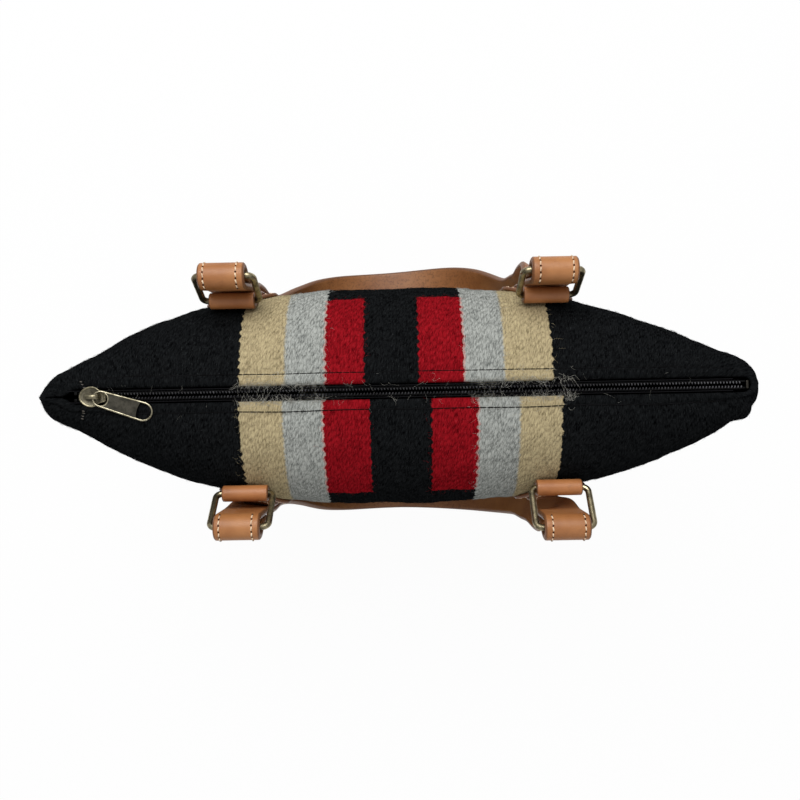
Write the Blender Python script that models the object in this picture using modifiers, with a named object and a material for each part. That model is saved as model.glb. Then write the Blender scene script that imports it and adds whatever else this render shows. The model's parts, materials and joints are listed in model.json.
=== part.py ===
"""Woven wool tote bag with a zipped mouth, four ring tabs and two leather handles.

Metres, +Z up, +X along the zip, +Y towards the back. The origin is on the ground under the
middle of the bag. The bag stands on its base, zipped shut, with both handles flopped down.
"""
import math

import bmesh
import bpy
from mathutils import Vector

# The cloth shell: a slit mouth, a crown that swells to its widest line, and a boxed base.
# Every drop is measured down from the mouth and every inset in from the mouth's end.
MOUTH_HEIGHT = 0.300
MOUTH_HALF_LENGTH = 0.219
SLIT_INSET = 0.0075
BACK_HALF_DEPTH = 0.0685
FRONT_HALF_DEPTH = 0.0735
CROWN_DROP = 0.055
TIP_DROP = 0.010
BASE_HALF_LENGTH = 0.165
BASE_HALF_DEPTH = 0.0575
BASE_EDGE_RADIUS = 0.012
CLOTH_THICKNESS = 0.004
HEM_RISE = 0.0008
TIP_RADIUS = 0.0025
TIP_REACH = 0.013
LENS_POWER = 2.5
LENS_FULLNESS = 0.85
BASE_SQUARENESS = 8
SEAM_CURVE = 0.35

# How much fuller each end swells than the lens, at its shoulder and near its tip.
SHOULDER_SWELL = {"back": (0.0030, 0.0000), "front": (0.0, 0.0030)}
TIP_SWELL = {"back": (0.0, 0.0024), "front": (0.0, 0.0072)}
SWELL_START = 0.095
SWELL_RISE = 0.040
SHOULDER_X = 0.150
TIP_X = 0.205
TIP_CLOSE_X = 0.2145

# The woven bands, as the lines along X where one colour meets the next.
BAND_EDGES = {
    "back": (-0.0955, -0.0682, -0.0437, -0.0205, 0.0125, 0.0395, 0.0640, 0.0930),
    "front": (-0.0960, -0.0700, -0.0455, -0.0175, 0.0198, 0.0474, 0.0730, 0.0985),
}
BAND_COLOURS = ("black", "cream", "grey", "red", "black", "red", "grey", "cream", "black")
RED_BLOCK_DROP = 0.038

# The zip: two coils with a channel between them, each on a tape sewn to the hem.
CLEARANCE = 0.0003
CHANNEL_HALF_WIDTH = 0.00105
COIL_WIDTH = 0.0019
COIL_HEIGHT = 0.0020
COIL_INSET = 0.0035
COIL_ROUND = 0.0004
TAPE_THICKNESS = 0.0005
TAPE_HEIGHT = 0.012
TAPE_INSET = 0.011
HEM_CLEARANCE = 0.00085
STOP_LENGTH = 0.0020
STOP_ROUND = 0.00025
END_STOP_LENGTH = 0.0015
END_STOP_HALF_WIDTH = 0.0025

# The slider and its pull.
SLIDER_INSET = 0.0281
SLIDER_HALF_WIDTH = 0.0063
SLIDER_NOSE = 0.0078
SLIDER_TAIL = 0.0084
SLIDER_SHOULDER = 0.0046
SLIDER_WAIST_HALF_WIDTH = 0.0041
SLIDER_TAIL_HALF_WIDTH = 0.0034
SLIDER_PLATE = 0.0010
KEEL_HALF_LENGTH = 0.0035
BRIDGE_WIRE = 0.0009
BRIDGE_HEIGHT = 0.0031
BRIDGE_NOSE_REACH = 0.0050
BRIDGE_TAIL_REACH = 0.0031
PULL_THICKNESS = 0.0013
PULL_LENGTH = 0.0363
PULL_EYE_RADIUS = 0.0050
PULL_RIM = 0.0013
PULL_HALF_WIDTH = 0.0059
PULL_END_ROUND = 0.0062
PULL_HOLE_LENGTH = 0.0087
PULL_BAR_WIDTH = 0.0012
PULL_NECK = 0.0003
PULL_RECESS = 0.00035
PULL_YAW = -18.0
PULL_DROOP = 2.6
PULL_BAR_SHIFT = 0.0016

# The handles: flat straps, each end folded over its ring with a short tail outside.
STRAP_WIDTH = 0.028
STRAP_THICKNESS = 0.0042
STRAP_EYE_SLACK = 0.0018
EYE_HANG = {"back": 0.0015, "front": 0.0010}
STRAP_SHIFT = 0.0006
STRAP_TAIL = 0.027
STRAP_CLEAR = 0.0010
EYE_OPENING = 0.016
EYE_NECK = 0.003
EYE_START = 10.0
LEG_HANG = 0.003
LEG_LEAN = 0.020
TWIST_LENGTH = 0.030
BEND_DROP = {"back": (0.078, 0.078), "front": (0.078, 0.052)}
LOW_DROP = 0.192
LOW_STANDOFF = {"back": 0.0177, "front": 0.0070}
LOW_SLANT = {"back": 0.0062, "front": 0.0020}
LEG_TWIST = {"back": (12.0, 36.0), "front": (13.0, 58.0)}
LAYER_CLEAR = 0.012
BEND_SQUARENESS = 2.15
BEND_TWIST_END = 86.0
BEND_DEPTH_POWER = 1.5

# The rings: rounded rectangles of wire.
RING_WIRE_RADIUS = 0.0020
RING_PLAY = 0.0030
RING_DEPTH = 0.028
RING_CORNER = 0.0035
RING_SHIFT = 0.0005
RING_ELEVATION = {"back": (65.0, 65.0), "front": (51.0, 38.0)}

# The leather tabs, sewn to the cloth and folded through the rings.
TAB_LEATHER = 0.0024
TAB_PLAY = 0.0025
TAB_EYE_SLACK = 0.0006
TAB_AXIS_DROP = 0.017
TAB_STANDOFF = 0.0010
TAB_SEAT = 0.0005
TAB_WRAP = (222.0, -28.0)
TAB_WRAP_START_DROP = 0.0110
TAB_WRAP_END_DROP = 0.0115
PATCH_WIDTH = 0.046
PATCH_DROP = 0.104
PATCH_SHOULDER_DROP = 0.038
PATCH_FOOT_ROUND = 0.022
PATCH_SHOULDER_ROUND = 0.014
PATCH_SHOULDER_RISE = 0.010
TONGUE_DROP = 0.074
TAB_X = {"back": (-0.1018, 0.0924), "front": (-0.0960, 0.0982)}
FIELD_MARGIN = 0.003

# How finely the shapes are divided.
CROWN_STEPS = 8
SIDE_STEPS = 7
EDGE_STEPS = 3
END_COLUMNS = 7
END_CROWDING = 1.5
ROUND_STEPS = 8
KEEL_STEPS = 12
EYE_STEPS = 20
CORNER_STEPS = 4
CLIMB_STEPS = 14
WRAP_STEPS = 12
TONGUE_STEPS = 8
TAIL_STEPS = 6
LEG_STEPS = 9
BEND_STEPS = 14
SLOPE_STEP = 0.0005
SEARCH_STEP = 0.0001

# What follows from the sizes above.
SIDE_SIGN = {"back": 1.0, "front": -1.0}
HALF_DEPTH = {"back": BACK_HALF_DEPTH, "front": FRONT_HALF_DEPTH}
END_SIGN = {"left": -1.0, "right": 1.0}
HEM_HEIGHT = MOUTH_HEIGHT + HEM_RISE
SLIT_HALF_LENGTH = MOUTH_HALF_LENGTH - SLIT_INSET
CROWN_FOOT_HEIGHT = MOUTH_HEIGHT - CROWN_DROP
TIP_FOOT_HEIGHT = MOUTH_HEIGHT - TIP_DROP
RED_BLOCK_FOOT = MOUTH_HEIGHT - RED_BLOCK_DROP
COIL_END = SLIT_HALF_LENGTH - COIL_INSET
TAPE_END = SLIT_HALF_LENGTH - TAPE_INSET
TAPE_OUTER = CHANNEL_HALF_WIDTH + COIL_WIDTH + CLEARANCE + TAPE_THICKNESS
HEM_HALF_GAP = TAPE_OUTER + HEM_CLEARANCE
SLIDER_X = SLIDER_INSET - SLIT_HALF_LENGTH
CLOSED_COIL_END = SLIDER_NOSE - SLIDER_X + 3 * CLEARANCE
KEEL_HALF_WIDTH = CHANNEL_HALF_WIDTH - CLEARANCE
SLIDER_SEAT = MOUTH_HEIGHT + max(COIL_HEIGHT / 2, HEM_RISE) + CLEARANCE
PLATE_TOP = SLIDER_SEAT + SLIDER_PLATE
PULL_BAR_X = SLIDER_X + PULL_BAR_SHIFT
PULL_AXIS_HEIGHT = PLATE_TOP + math.hypot(PULL_RIM / 2, PULL_THICKNESS / 2) + CLEARANCE / 2
PULL_HOLE_START = PULL_LENGTH - PULL_HOLE_LENGTH
PULL_PANEL_END = PULL_HOLE_START - PULL_BAR_WIDTH
PULL_PANEL_START = 2 * PULL_EYE_RADIUS + PULL_NECK
RING_WIDTH = STRAP_WIDTH + 2 * RING_WIRE_RADIUS + RING_PLAY
STRAP_EYE_RADIUS = RING_WIRE_RADIUS + STRAP_EYE_SLACK
TAB_EYE_RADIUS = RING_WIRE_RADIUS + TAB_EYE_SLACK
TAB_WIDTH = RING_WIDTH - 2 * RING_WIRE_RADIUS - TAB_PLAY
TAB_LOOP = TAB_EYE_RADIUS + TAB_LEATHER
TAB_AXIS_HEIGHT = MOUTH_HEIGHT - TAB_AXIS_DROP
TAB_WRAP_START = TAB_AXIS_HEIGHT - TAB_WRAP_START_DROP
TAB_WRAP_END = TAB_AXIS_HEIGHT - TAB_WRAP_END_DROP
PATCH_FOOT = MOUTH_HEIGHT - PATCH_DROP
PATCH_SHOULDER = MOUTH_HEIGHT - PATCH_SHOULDER_DROP
TONGUE_FOOT = MOUTH_HEIGHT - TONGUE_DROP
TAB_REACH = max(abs(x) for pair in TAB_X.values() for x in pair)
FIELD_HALF_LENGTH = TAB_REACH + PATCH_WIDTH / 2 + FIELD_MARGIN
LOW_HEIGHT = MOUTH_HEIGHT - LOW_DROP
LOW_DEPTH = {side: HALF_DEPTH[side] + LOW_STANDOFF[side] for side in SIDE_SIGN}

COLOURS = {
    "wool_black": ((0.010, 0.011, 0.013), 0.95, 0.0),
    "wool_cream": ((0.54, 0.44, 0.25), 0.95, 0.0),
    "wool_grey": ((0.40, 0.43, 0.43), 0.95, 0.0),
    "wool_red": ((0.32, 0.006, 0.014), 0.95, 0.0),
    "tape_black": ((0.012, 0.012, 0.013), 0.9, 0.0),
    "coil_black": ((0.015, 0.015, 0.016), 0.35, 0.0),
    "antique_brass": ((0.26, 0.21, 0.10), 0.35, 1.0),
    "tan_leather": ((0.45, 0.21, 0.10), 0.55, 0.0),
}


def clear_scene():
    for thing in list(bpy.data.objects):
        bpy.data.objects.remove(thing, do_unlink=True)


def new_collection(name):
    group = bpy.data.collections.new(name)
    bpy.context.scene.collection.children.link(group)
    return group


def material(node_name, look):
    """A Principled material of one piece, in one of the looks above."""
    colour, roughness, metallic = COLOURS[look]
    made = bpy.data.materials.new(f"{node_name}_{look}")
    made.use_nodes = True
    shader = made.node_tree.nodes["Principled BSDF"]
    shader.inputs["Base Color"].default_value = (*colour, 1.0)
    shader.inputs["Roughness"].default_value = roughness
    shader.inputs["Metallic"].default_value = metallic
    made.diffuse_color = (*colour, 1.0)
    return made


def add_piece(group, name, mesh, looks, origin=(0, 0, 0), smooth=35.0):
    """An object whose mesh points, given in world space, are stored around its origin."""
    origin = Vector(origin)
    for vertex in mesh.vertices:
        vertex.co -= origin
    for look in looks:
        mesh.materials.append(material(name, look))
    piece = bpy.data.objects.new(name, mesh)
    piece.location = origin
    group.objects.link(piece)
    mesh.shade_smooth()
    mesh.set_sharp_from_angle(angle=math.radians(smooth))
    return piece


def skin(name, rows, closed_rows=False):
    """An open surface over rows of points, each row as long as the next."""
    work = bmesh.new()
    grid = [[work.verts.new(point) for point in row] for row in rows]
    count = len(rows[0])
    last = count if closed_rows else count - 1
    for upper, lower in zip(grid, grid[1:]):
        for i in range(last):
            j = (i + 1) % count
            work.faces.new((upper[i], lower[i], lower[j], upper[j]))
    mesh = bpy.data.meshes.new(name)
    bmesh.ops.recalc_face_normals(work, faces=work.faces)
    work.to_mesh(mesh)
    work.free()
    return mesh


def thicken(piece, thickness, offset):
    solid = piece.modifiers.new("thickness", "SOLIDIFY")
    solid.thickness = thickness
    solid.offset = offset
    solid.use_even_offset = False
    return solid


def ease(fraction):
    """A smooth step from 0 to 1 with level ends."""
    held = min(max(fraction, 0.0), 1.0)
    return held * held * (3 - 2 * held)


def mix(low, high, fraction):
    return low + (high - low) * fraction


def of_end(pair, end):
    """The value for one end of a pair kept as (left, right)."""
    return pair[0 if end == "left" else 1]


# The cloth shell

def swell(x, side):
    """How much fuller than the lens an end is, which fades out over the last of its tip."""
    end = 0 if x < 0 else 1
    away = abs(x)
    amount = mix(SHOULDER_SWELL[side][end], TIP_SWELL[side][end],
                 ease((away - SHOULDER_X) / (TIP_X - SHOULDER_X)))
    closing = max(away - TIP_CLOSE_X, 0.0) / (MOUTH_HALF_LENGTH - TIP_CLOSE_X)
    fade = math.sqrt(max(1 - closing**2, 0.0))
    return amount * ease((away - SWELL_START) / SWELL_RISE) * fade


def crown_depth(x, side):
    """How far the bag's widest line lies from its middle plane: a lens with blunt tips."""
    reach = min(abs(x) / MOUTH_HALF_LENGTH, 1.0)
    inset = MOUTH_HALF_LENGTH * (1 - reach)
    lens = HALF_DEPTH[side] * (1 - reach**LENS_POWER) ** LENS_FULLNESS
    blunt = math.sqrt(2 * TIP_RADIUS * inset) * math.exp(-((inset / TIP_REACH) ** 2))
    return lens + blunt + swell(x, side)


def crown_foot(x):
    """Height of the widest line, which climbs towards the tips."""
    reach = min(abs(x) / MOUTH_HALF_LENGTH, 1.0)
    return mix(CROWN_FOOT_HEIGHT, TIP_FOOT_HEIGHT, reach**LENS_POWER)


def hem_depth(x):
    """The slit mouth: straight sides with round ends."""
    inset = SLIT_HALF_LENGTH - abs(x)
    if inset >= HEM_HALF_GAP:
        return HEM_HALF_GAP
    return math.sqrt(max(HEM_HALF_GAP**2 - (HEM_HALF_GAP - inset) ** 2, 0.0))


def base_depth(x, inset):
    """The boxed base: a rectangle with soft corners, drawn in by the inset."""
    reach = min(abs(x) / (BASE_HALF_LENGTH - inset), 1.0)
    full = (1 - reach**BASE_SQUARENESS) ** (1 / BASE_SQUARENESS)
    return (BASE_HALF_DEPTH - inset) * full


def end_points(depth, half_length, count):
    """Points from the field's edge round to a tip, closer together near the tip."""
    samples = 240
    span = half_length - FIELD_HALF_LENGTH
    path = []
    for i in range(samples + 1):
        x = half_length - span * (1 - i / samples) ** 2
        path.append(Vector((x, depth(x), 0.0)))
    lengths = [0.0]
    for before, after in zip(path, path[1:]):
        lengths.append(lengths[-1] + (after - before).length)
    points = []
    k = 0
    for j in range(1, count + 1):
        target = lengths[-1] * (1 - (1 - j / count) ** END_CROWDING)
        while k < samples - 1 and lengths[k + 1] < target:
            k += 1
        part = (target - lengths[k]) / (lengths[k + 1] - lengths[k])
        points.append(path[k].lerp(path[k + 1], part))
    return points


def field_columns(side):
    """X of the columns over the bands: every band edge and the middle of every band."""
    edges = (-FIELD_HALF_LENGTH, *BAND_EDGES[side], FIELD_HALF_LENGTH)
    columns = []
    for before, after in zip(edges, edges[1:]):
        columns += [before, (before + after) / 2]
    return columns + [FIELD_HALF_LENGTH]


def half_outline(side, depth, half_length):
    """One side of a level outline, from the left tip to the right tip."""
    sign = SIDE_SIGN[side]
    field = [Vector((x, depth(x), 0.0)) for x in field_columns(side)]
    right = end_points(depth, half_length, END_COLUMNS)
    turned = end_points(lambda x: depth(-x), half_length, END_COLUMNS)
    left = [Vector((-p.x, p.y, 0.0)) for p in reversed(turned)]
    return [Vector((p.x, sign * p.y, 0.0)) for p in left + field + right]


def ring_outline(depths, half_length):
    """A closed outline: the back from left to right, then the front from right to left."""
    back = half_outline("back", depths["back"], half_length)
    front = half_outline("front", depths["front"], half_length)
    return back + list(reversed(front))[1:-1]


def shell_rows():
    """Closed rows of points from the hem down to the flat of the base."""
    crown = {side: (lambda x, side=side: crown_depth(x, side)) for side in SIDE_SIGN}
    hem_row = ring_outline({"back": hem_depth, "front": hem_depth}, SLIT_HALF_LENGTH)
    crown_row = ring_outline(crown, MOUTH_HALF_LENGTH)
    base_full = {side: (lambda x: base_depth(x, 0.0)) for side in SIDE_SIGN}
    base_flat = {side: (lambda x: base_depth(x, BASE_EDGE_RADIUS)) for side in SIDE_SIGN}
    full_row = ring_outline(base_full, BASE_HALF_LENGTH)
    flat_row = ring_outline(base_flat, BASE_HALF_LENGTH - BASE_EDGE_RADIUS)
    rows = []
    for step in range(CROWN_STEPS + 1):
        turn = math.pi / 2 * step / CROWN_STEPS
        row = []
        for hem, wide in zip(hem_row, crown_row):
            point = hem.lerp(wide, math.sin(turn))
            point.z = mix(crown_foot(wide.x), HEM_HEIGHT, math.cos(turn))
            row.append(point)
        rows.append(row)
    for step in range(1, SIDE_STEPS + 1):
        part = step / SIDE_STEPS
        row = []
        for wide, low in zip(crown_row, full_row):
            x = mix(wide.x, low.x, mix(part, ease(part), SEAM_CURVE))
            y = mix(wide.y, low.y, ease(part))
            row.append(Vector((x, y, mix(crown_foot(wide.x), BASE_EDGE_RADIUS, part))))
        rows.append(row)
    for step in range(1, EDGE_STEPS + 1):
        turn = math.pi / 2 * step / EDGE_STEPS
        row = []
        for full, flat in zip(full_row, flat_row):
            point = full.lerp(flat, 1 - math.cos(turn))
            point.z = BASE_EDGE_RADIUS * (1 - math.sin(turn))
            row.append(point)
        rows.append(row)
    return rows


def cloth_depth(x, z, side):
    """Distance of the cloth's outer face from the middle plane, over the field."""
    wide = crown_depth(x, side)
    foot = crown_foot(x)
    if z >= foot:
        rise = min((z - foot) / (HEM_HEIGHT - foot), 1.0)
        return mix(HEM_HALF_GAP, wide, math.sqrt(1 - rise * rise))
    fall = (foot - z) / (foot - BASE_EDGE_RADIUS)
    return mix(wide, base_depth(x, 0.0), ease(fall))


def off_cloth(x, z, side, distance):
    """Depth and height of a point that stands off the cloth by a distance, square to it."""
    above = cloth_depth(x, z + SLOPE_STEP, side)
    below = cloth_depth(x, z - SLOPE_STEP, side)
    lean = (above - below) / (2 * SLOPE_STEP)
    length = math.hypot(1.0, lean)
    depth = cloth_depth(x, z, side) + distance / length
    return depth, z - distance * lean / length


def band_look(x, z, side):
    """Which wool a spot of the outer face is woven in."""
    for edge, colour in zip(BAND_EDGES[side], BAND_COLOURS):
        if x < edge:
            break
    else:
        colour = BAND_COLOURS[-1]
    if z < BASE_EDGE_RADIUS:
        return "wool_black"
    if colour == "red" and z < RED_BLOCK_FOOT:
        return "wool_black"
    return "wool_" + colour


def make_woven_body(group):
    rows = shell_rows()
    mesh = skin("woven_body", rows, closed_rows=True)
    work = bmesh.new()
    work.from_mesh(mesh)
    work.verts.ensure_lookup_table()
    count = len(rows[0])
    half = (count + 2) // 2
    start = count * (len(rows) - 1)
    for i in range(half - 1):
        near = start + (count - i) % count
        after = start + (count - i - 1) % count
        corners = []
        for index in (start + i, start + i + 1, after, near):
            if work.verts[index] not in corners:
                corners.append(work.verts[index])
        work.faces.new(corners)
    bmesh.ops.recalc_face_normals(work, faces=work.faces)
    work.to_mesh(mesh)
    work.free()
    looks = ["wool_black", "wool_cream", "wool_grey", "wool_red"]
    piece = add_piece(group, "woven_body", mesh, looks, smooth=60.0)
    for face in mesh.polygons:
        side = "back" if face.center.y > 0 else "front"
        face.material_index = looks.index(band_look(face.center.x, face.center.z, side))
    solid = thicken(piece, CLOTH_THICKNESS, -1.0)
    solid.thickness_clamp = 1.5


# The zip

def add_block(group, name, low, high, look, round_over=0.0):
    """A block between two corners, with its edges rounded over."""
    work = bmesh.new()
    bmesh.ops.create_cube(work, size=1.0)
    middle = (Vector(low) + Vector(high)) / 2
    span = Vector(high) - Vector(low)
    for vertex in work.verts:
        vertex.co = middle + Vector(a * b for a, b in zip(vertex.co, span))
    mesh = bpy.data.meshes.new(name)
    work.to_mesh(mesh)
    work.free()
    piece = add_piece(group, name, mesh, [look], origin=middle)
    if round_over:
        bevel = piece.modifiers.new("round_over", "BEVEL")
        bevel.width = round_over
        bevel.segments = 2
    return piece


def make_zip(group):
    inner = CHANNEL_HALF_WIDTH
    outer = inner + COIL_WIDTH
    low = MOUTH_HEIGHT - COIL_HEIGHT / 2
    high = MOUTH_HEIGHT + COIL_HEIGHT / 2
    for side, sign in SIDE_SIGN.items():
        ys = sorted((sign * inner, sign * outer))
        add_block(group, f"zipper_coil_{side}", (-CLOSED_COIL_END, ys[0], low),
                  (COIL_END, ys[1], high), "coil_black", COIL_ROUND)
        ys = sorted((sign * (outer + CLEARANCE), sign * TAPE_OUTER))
        add_block(group, f"zipper_tape_{side}", (-TAPE_END, ys[0], high - TAPE_HEIGHT),
                  (TAPE_END, ys[1], high - CLEARANCE), "tape_black")
        ys = sorted((sign * inner, sign * outer))
        end = -CLOSED_COIL_END - CLEARANCE
        add_block(group, f"zipper_stop_left_{side}", (end - STOP_LENGTH, ys[0], low),
                  (end, ys[1], high), "antique_brass", STOP_ROUND)
    start = COIL_END + CLEARANCE
    add_block(group, "zipper_stop_right", (start, -END_STOP_HALF_WIDTH, low),
              (start + END_STOP_LENGTH, END_STOP_HALF_WIDTH, high), "antique_brass", STOP_ROUND)


def flat_plate(name, outlines, thickness):
    """A mesh plate from flat outlines, the first its edge and the others its holes."""
    flat = bpy.data.curves.new(name, "CURVE")
    flat.dimensions = "2D"
    flat.fill_mode = "BOTH"
    flat.extrude = thickness / 2
    for outline in outlines:
        spline = flat.splines.new("POLY")
        spline.points.add(len(outline) - 1)
        for point, (x, y) in zip(spline.points, outline):
            point.co = (x, y, 0.0, 1.0)
        spline.use_cyclic_u = True
    return curve_to_mesh(name, flat)


def wire(name, points, radius, closed):
    """A round wire through points, with filled caps when it is open."""
    path = bpy.data.curves.new(name, "CURVE")
    path.dimensions = "3D"
    path.bevel_depth = radius
    path.bevel_resolution = 2
    path.use_fill_caps = not closed
    spline = path.splines.new("POLY")
    spline.points.add(len(points) - 1)
    for point, place in zip(spline.points, points):
        point.co = (*place, 1.0)
    spline.use_cyclic_u = closed
    return curve_to_mesh(name, path)


def curve_to_mesh(name, curve):
    carrier = bpy.data.objects.new(name + "_curve", curve)
    bpy.context.scene.collection.objects.link(carrier)
    depsgraph = bpy.context.evaluated_depsgraph_get()
    mesh = bpy.data.meshes.new_from_object(carrier.evaluated_get(depsgraph))
    bpy.data.objects.remove(carrier, do_unlink=True)
    bpy.data.curves.remove(curve)
    work = bmesh.new()
    work.from_mesh(mesh)
    bmesh.ops.remove_doubles(work, verts=work.verts, dist=0.000001)
    bmesh.ops.recalc_face_normals(work, faces=work.faces)
    work.to_mesh(mesh)
    work.free()
    mesh.name = name
    return mesh


def shift_mesh(mesh, x, y, z):
    for vertex in mesh.vertices:
        vertex.co += Vector((x, y, z))
    return mesh


def cutter(cutters, name, mesh):
    tool = bpy.data.objects.new(name, mesh)
    cutters.objects.link(tool)
    tool.hide_render = True
    tool.display_type = "WIRE"
    return tool


def boolean(piece, tool, operation):
    step = piece.modifiers.new(tool.name, "BOOLEAN")
    step.object = tool
    step.operation = operation
    step.solver = "EXACT"


def slider_outline():
    """Seen from above: a round nose that narrows to a blunt tail."""
    points = []
    for step in range(ROUND_STEPS + 1):
        turn = math.radians(90 + 180 * step / ROUND_STEPS)
        points.append((SLIDER_NOSE * math.cos(turn), SLIDER_HALF_WIDTH * math.sin(turn)))
    lower = [(SLIDER_SHOULDER, -SLIDER_WAIST_HALF_WIDTH), (SLIDER_TAIL, -SLIDER_TAIL_HALF_WIDTH)]
    upper = [(x, -y) for x, y in reversed(lower)]
    return points + lower + upper


def make_slider(group, cutters):
    outline = slider_outline()
    top = flat_plate("slider_body", [outline], SLIDER_PLATE)
    shift_mesh(top, SLIDER_X, 0, SLIDER_SEAT + SLIDER_PLATE / 2)
    slider = add_piece(group, "slider_body", top, ["antique_brass"],
                       origin=(SLIDER_X, 0, MOUTH_HEIGHT))
    narrow = (CHANNEL_HALF_WIDTH + COIL_WIDTH - CLEARANCE / 2) / SLIDER_HALF_WIDTH
    lower = flat_plate("slider_lower", [[(x, y * narrow) for x, y in outline]], SLIDER_PLATE)
    lower_top = MOUTH_HEIGHT - COIL_HEIGHT / 2 - CLEARANCE
    shift_mesh(lower, SLIDER_X, 0, lower_top - SLIDER_PLATE / 2)
    boolean(slider, cutter(cutters, "slider_lower", lower), "UNION")
    keel_outline = oval(0.0, KEEL_HALF_LENGTH, KEEL_HALF_WIDTH, KEEL_STEPS)
    keel_low = lower_top - SLIDER_PLATE / 2
    keel_high = SLIDER_SEAT + SLIDER_PLATE / 2
    keel = flat_plate("slider_keel", [keel_outline], keel_high - keel_low)
    shift_mesh(keel, SLIDER_X, 0, (keel_high + keel_low) / 2)
    boolean(slider, cutter(cutters, "slider_keel", keel), "UNION")
    arch = [(PULL_BAR_X - BRIDGE_NOSE_REACH, 0, PLATE_TOP - SLIDER_PLATE / 2)]
    for step in range(WRAP_STEPS + 1):
        turn = math.pi * (1 - step / WRAP_STEPS)
        reach = BRIDGE_NOSE_REACH if math.cos(turn) < 0 else BRIDGE_TAIL_REACH
        arch.append((PULL_BAR_X + reach * math.cos(turn), 0,
                     PULL_AXIS_HEIGHT + BRIDGE_HEIGHT * math.sin(turn)))
    arch.append((PULL_BAR_X + BRIDGE_TAIL_REACH, 0, PLATE_TOP - SLIDER_PLATE / 2))
    bridge = wire("slider_bridge", arch, BRIDGE_WIRE, closed=False)
    boolean(slider, cutter(cutters, "slider_bridge", bridge), "UNION")


def oval(x, radius_x, radius_y, count):
    turns = [2 * math.pi * step / count for step in range(count)]
    return [(x + radius_x * math.cos(t), radius_y * math.sin(t)) for t in turns]


def pull_outline():
    """Seen from above along +X: a round eye that widens to a rounded end."""
    eye_x = PULL_EYE_RADIUS - PULL_RIM / 2
    upper = []
    for step in range(ROUND_STEPS + 1):
        turn = math.radians(180 - 90 * step / ROUND_STEPS)
        upper.append((eye_x + PULL_EYE_RADIUS * math.cos(turn), PULL_EYE_RADIUS * math.sin(turn)))
    end_x = PULL_LENGTH - PULL_END_ROUND
    for step in range(ROUND_STEPS + 1):
        turn = math.radians(90 - 90 * step / ROUND_STEPS)
        upper.append((end_x + PULL_END_ROUND * math.cos(turn), PULL_HALF_WIDTH * math.sin(turn)))
    lower = [(x, -y) for x, y in reversed(upper[1:-1])]
    return upper + lower


def panel_outline(start, end, margin):
    """A long opening of the pull that keeps its rim's width."""
    near = PULL_EYE_RADIUS - margin
    far = PULL_HALF_WIDTH - margin
    return [(start, -near), (end, -far), (end, far), (start, near)]


def make_pull(group, cutters):
    eye_x = PULL_EYE_RADIUS - PULL_RIM / 2
    eye = oval(eye_x, PULL_EYE_RADIUS - PULL_RIM, PULL_EYE_RADIUS - PULL_RIM, EYE_STEPS)
    end_x = PULL_LENGTH - PULL_END_ROUND
    end_hole = [(PULL_HOLE_START, -PULL_HALF_WIDTH + PULL_RIM)]
    for step in range(ROUND_STEPS + 1):
        turn = math.radians(-90 + 180 * step / ROUND_STEPS)
        end_hole.append((end_x + (PULL_END_ROUND - PULL_RIM) * math.cos(turn),
                         (PULL_HALF_WIDTH - PULL_RIM) * math.sin(turn)))
    end_hole.append((PULL_HOLE_START, PULL_HALF_WIDTH - PULL_RIM))
    mesh = flat_plate("pull_tab", [pull_outline(), eye, end_hole], PULL_THICKNESS)
    pull = add_piece(group, "pull_tab", mesh, ["antique_brass"])
    for name, sign in (("pull_recess_upper", 1), ("pull_recess_lower", -1)):
        panel = panel_outline(PULL_PANEL_START, PULL_PANEL_END, PULL_RIM)
        recess = flat_plate(name, [panel], PULL_RECESS * 2)
        shift_mesh(recess, 0, 0, sign * PULL_THICKNESS / 2)
        tool = cutter(cutters, name, recess)
        tool.parent = pull
        boolean(pull, tool, "DIFFERENCE")
    pull.rotation_euler = (0, math.radians(PULL_DROOP), math.radians(PULL_YAW))
    pull.location = (PULL_BAR_X, 0, PULL_AXIS_HEIGHT)


# The tabs and rings

def tab_axis_depth(side):
    """Depth of the ring axis, so that a straight loop clears the cloth at both tabs."""
    inboard = min(abs(x) for x in TAB_X[side]) - TAB_WIDTH / 2
    need = TAB_LOOP + TAB_SEAT + TAB_STANDOFF
    surface = []
    z = TAB_AXIS_HEIGHT - 2 * need
    while z < HEM_HEIGHT:
        surface.append((cloth_depth(inboard, z, side), z))
        z += SLOPE_STEP
    depth = cloth_depth(inboard, TAB_AXIS_HEIGHT, side)
    while min(math.hypot(depth - y, TAB_AXIS_HEIGHT - z) for y, z in surface) < need:
        depth += SEARCH_STEP
    return depth


def patch_half_width(z):
    """The patch is widest at its shoulder and rounds off to its foot."""
    low = ease((z - PATCH_FOOT) / PATCH_FOOT_ROUND)
    high = 1 - ease((z - PATCH_SHOULDER + PATCH_SHOULDER_RISE) / PATCH_SHOULDER_ROUND)
    return mix(TAB_WIDTH / 2, PATCH_WIDTH / 2, min(low, high))


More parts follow.
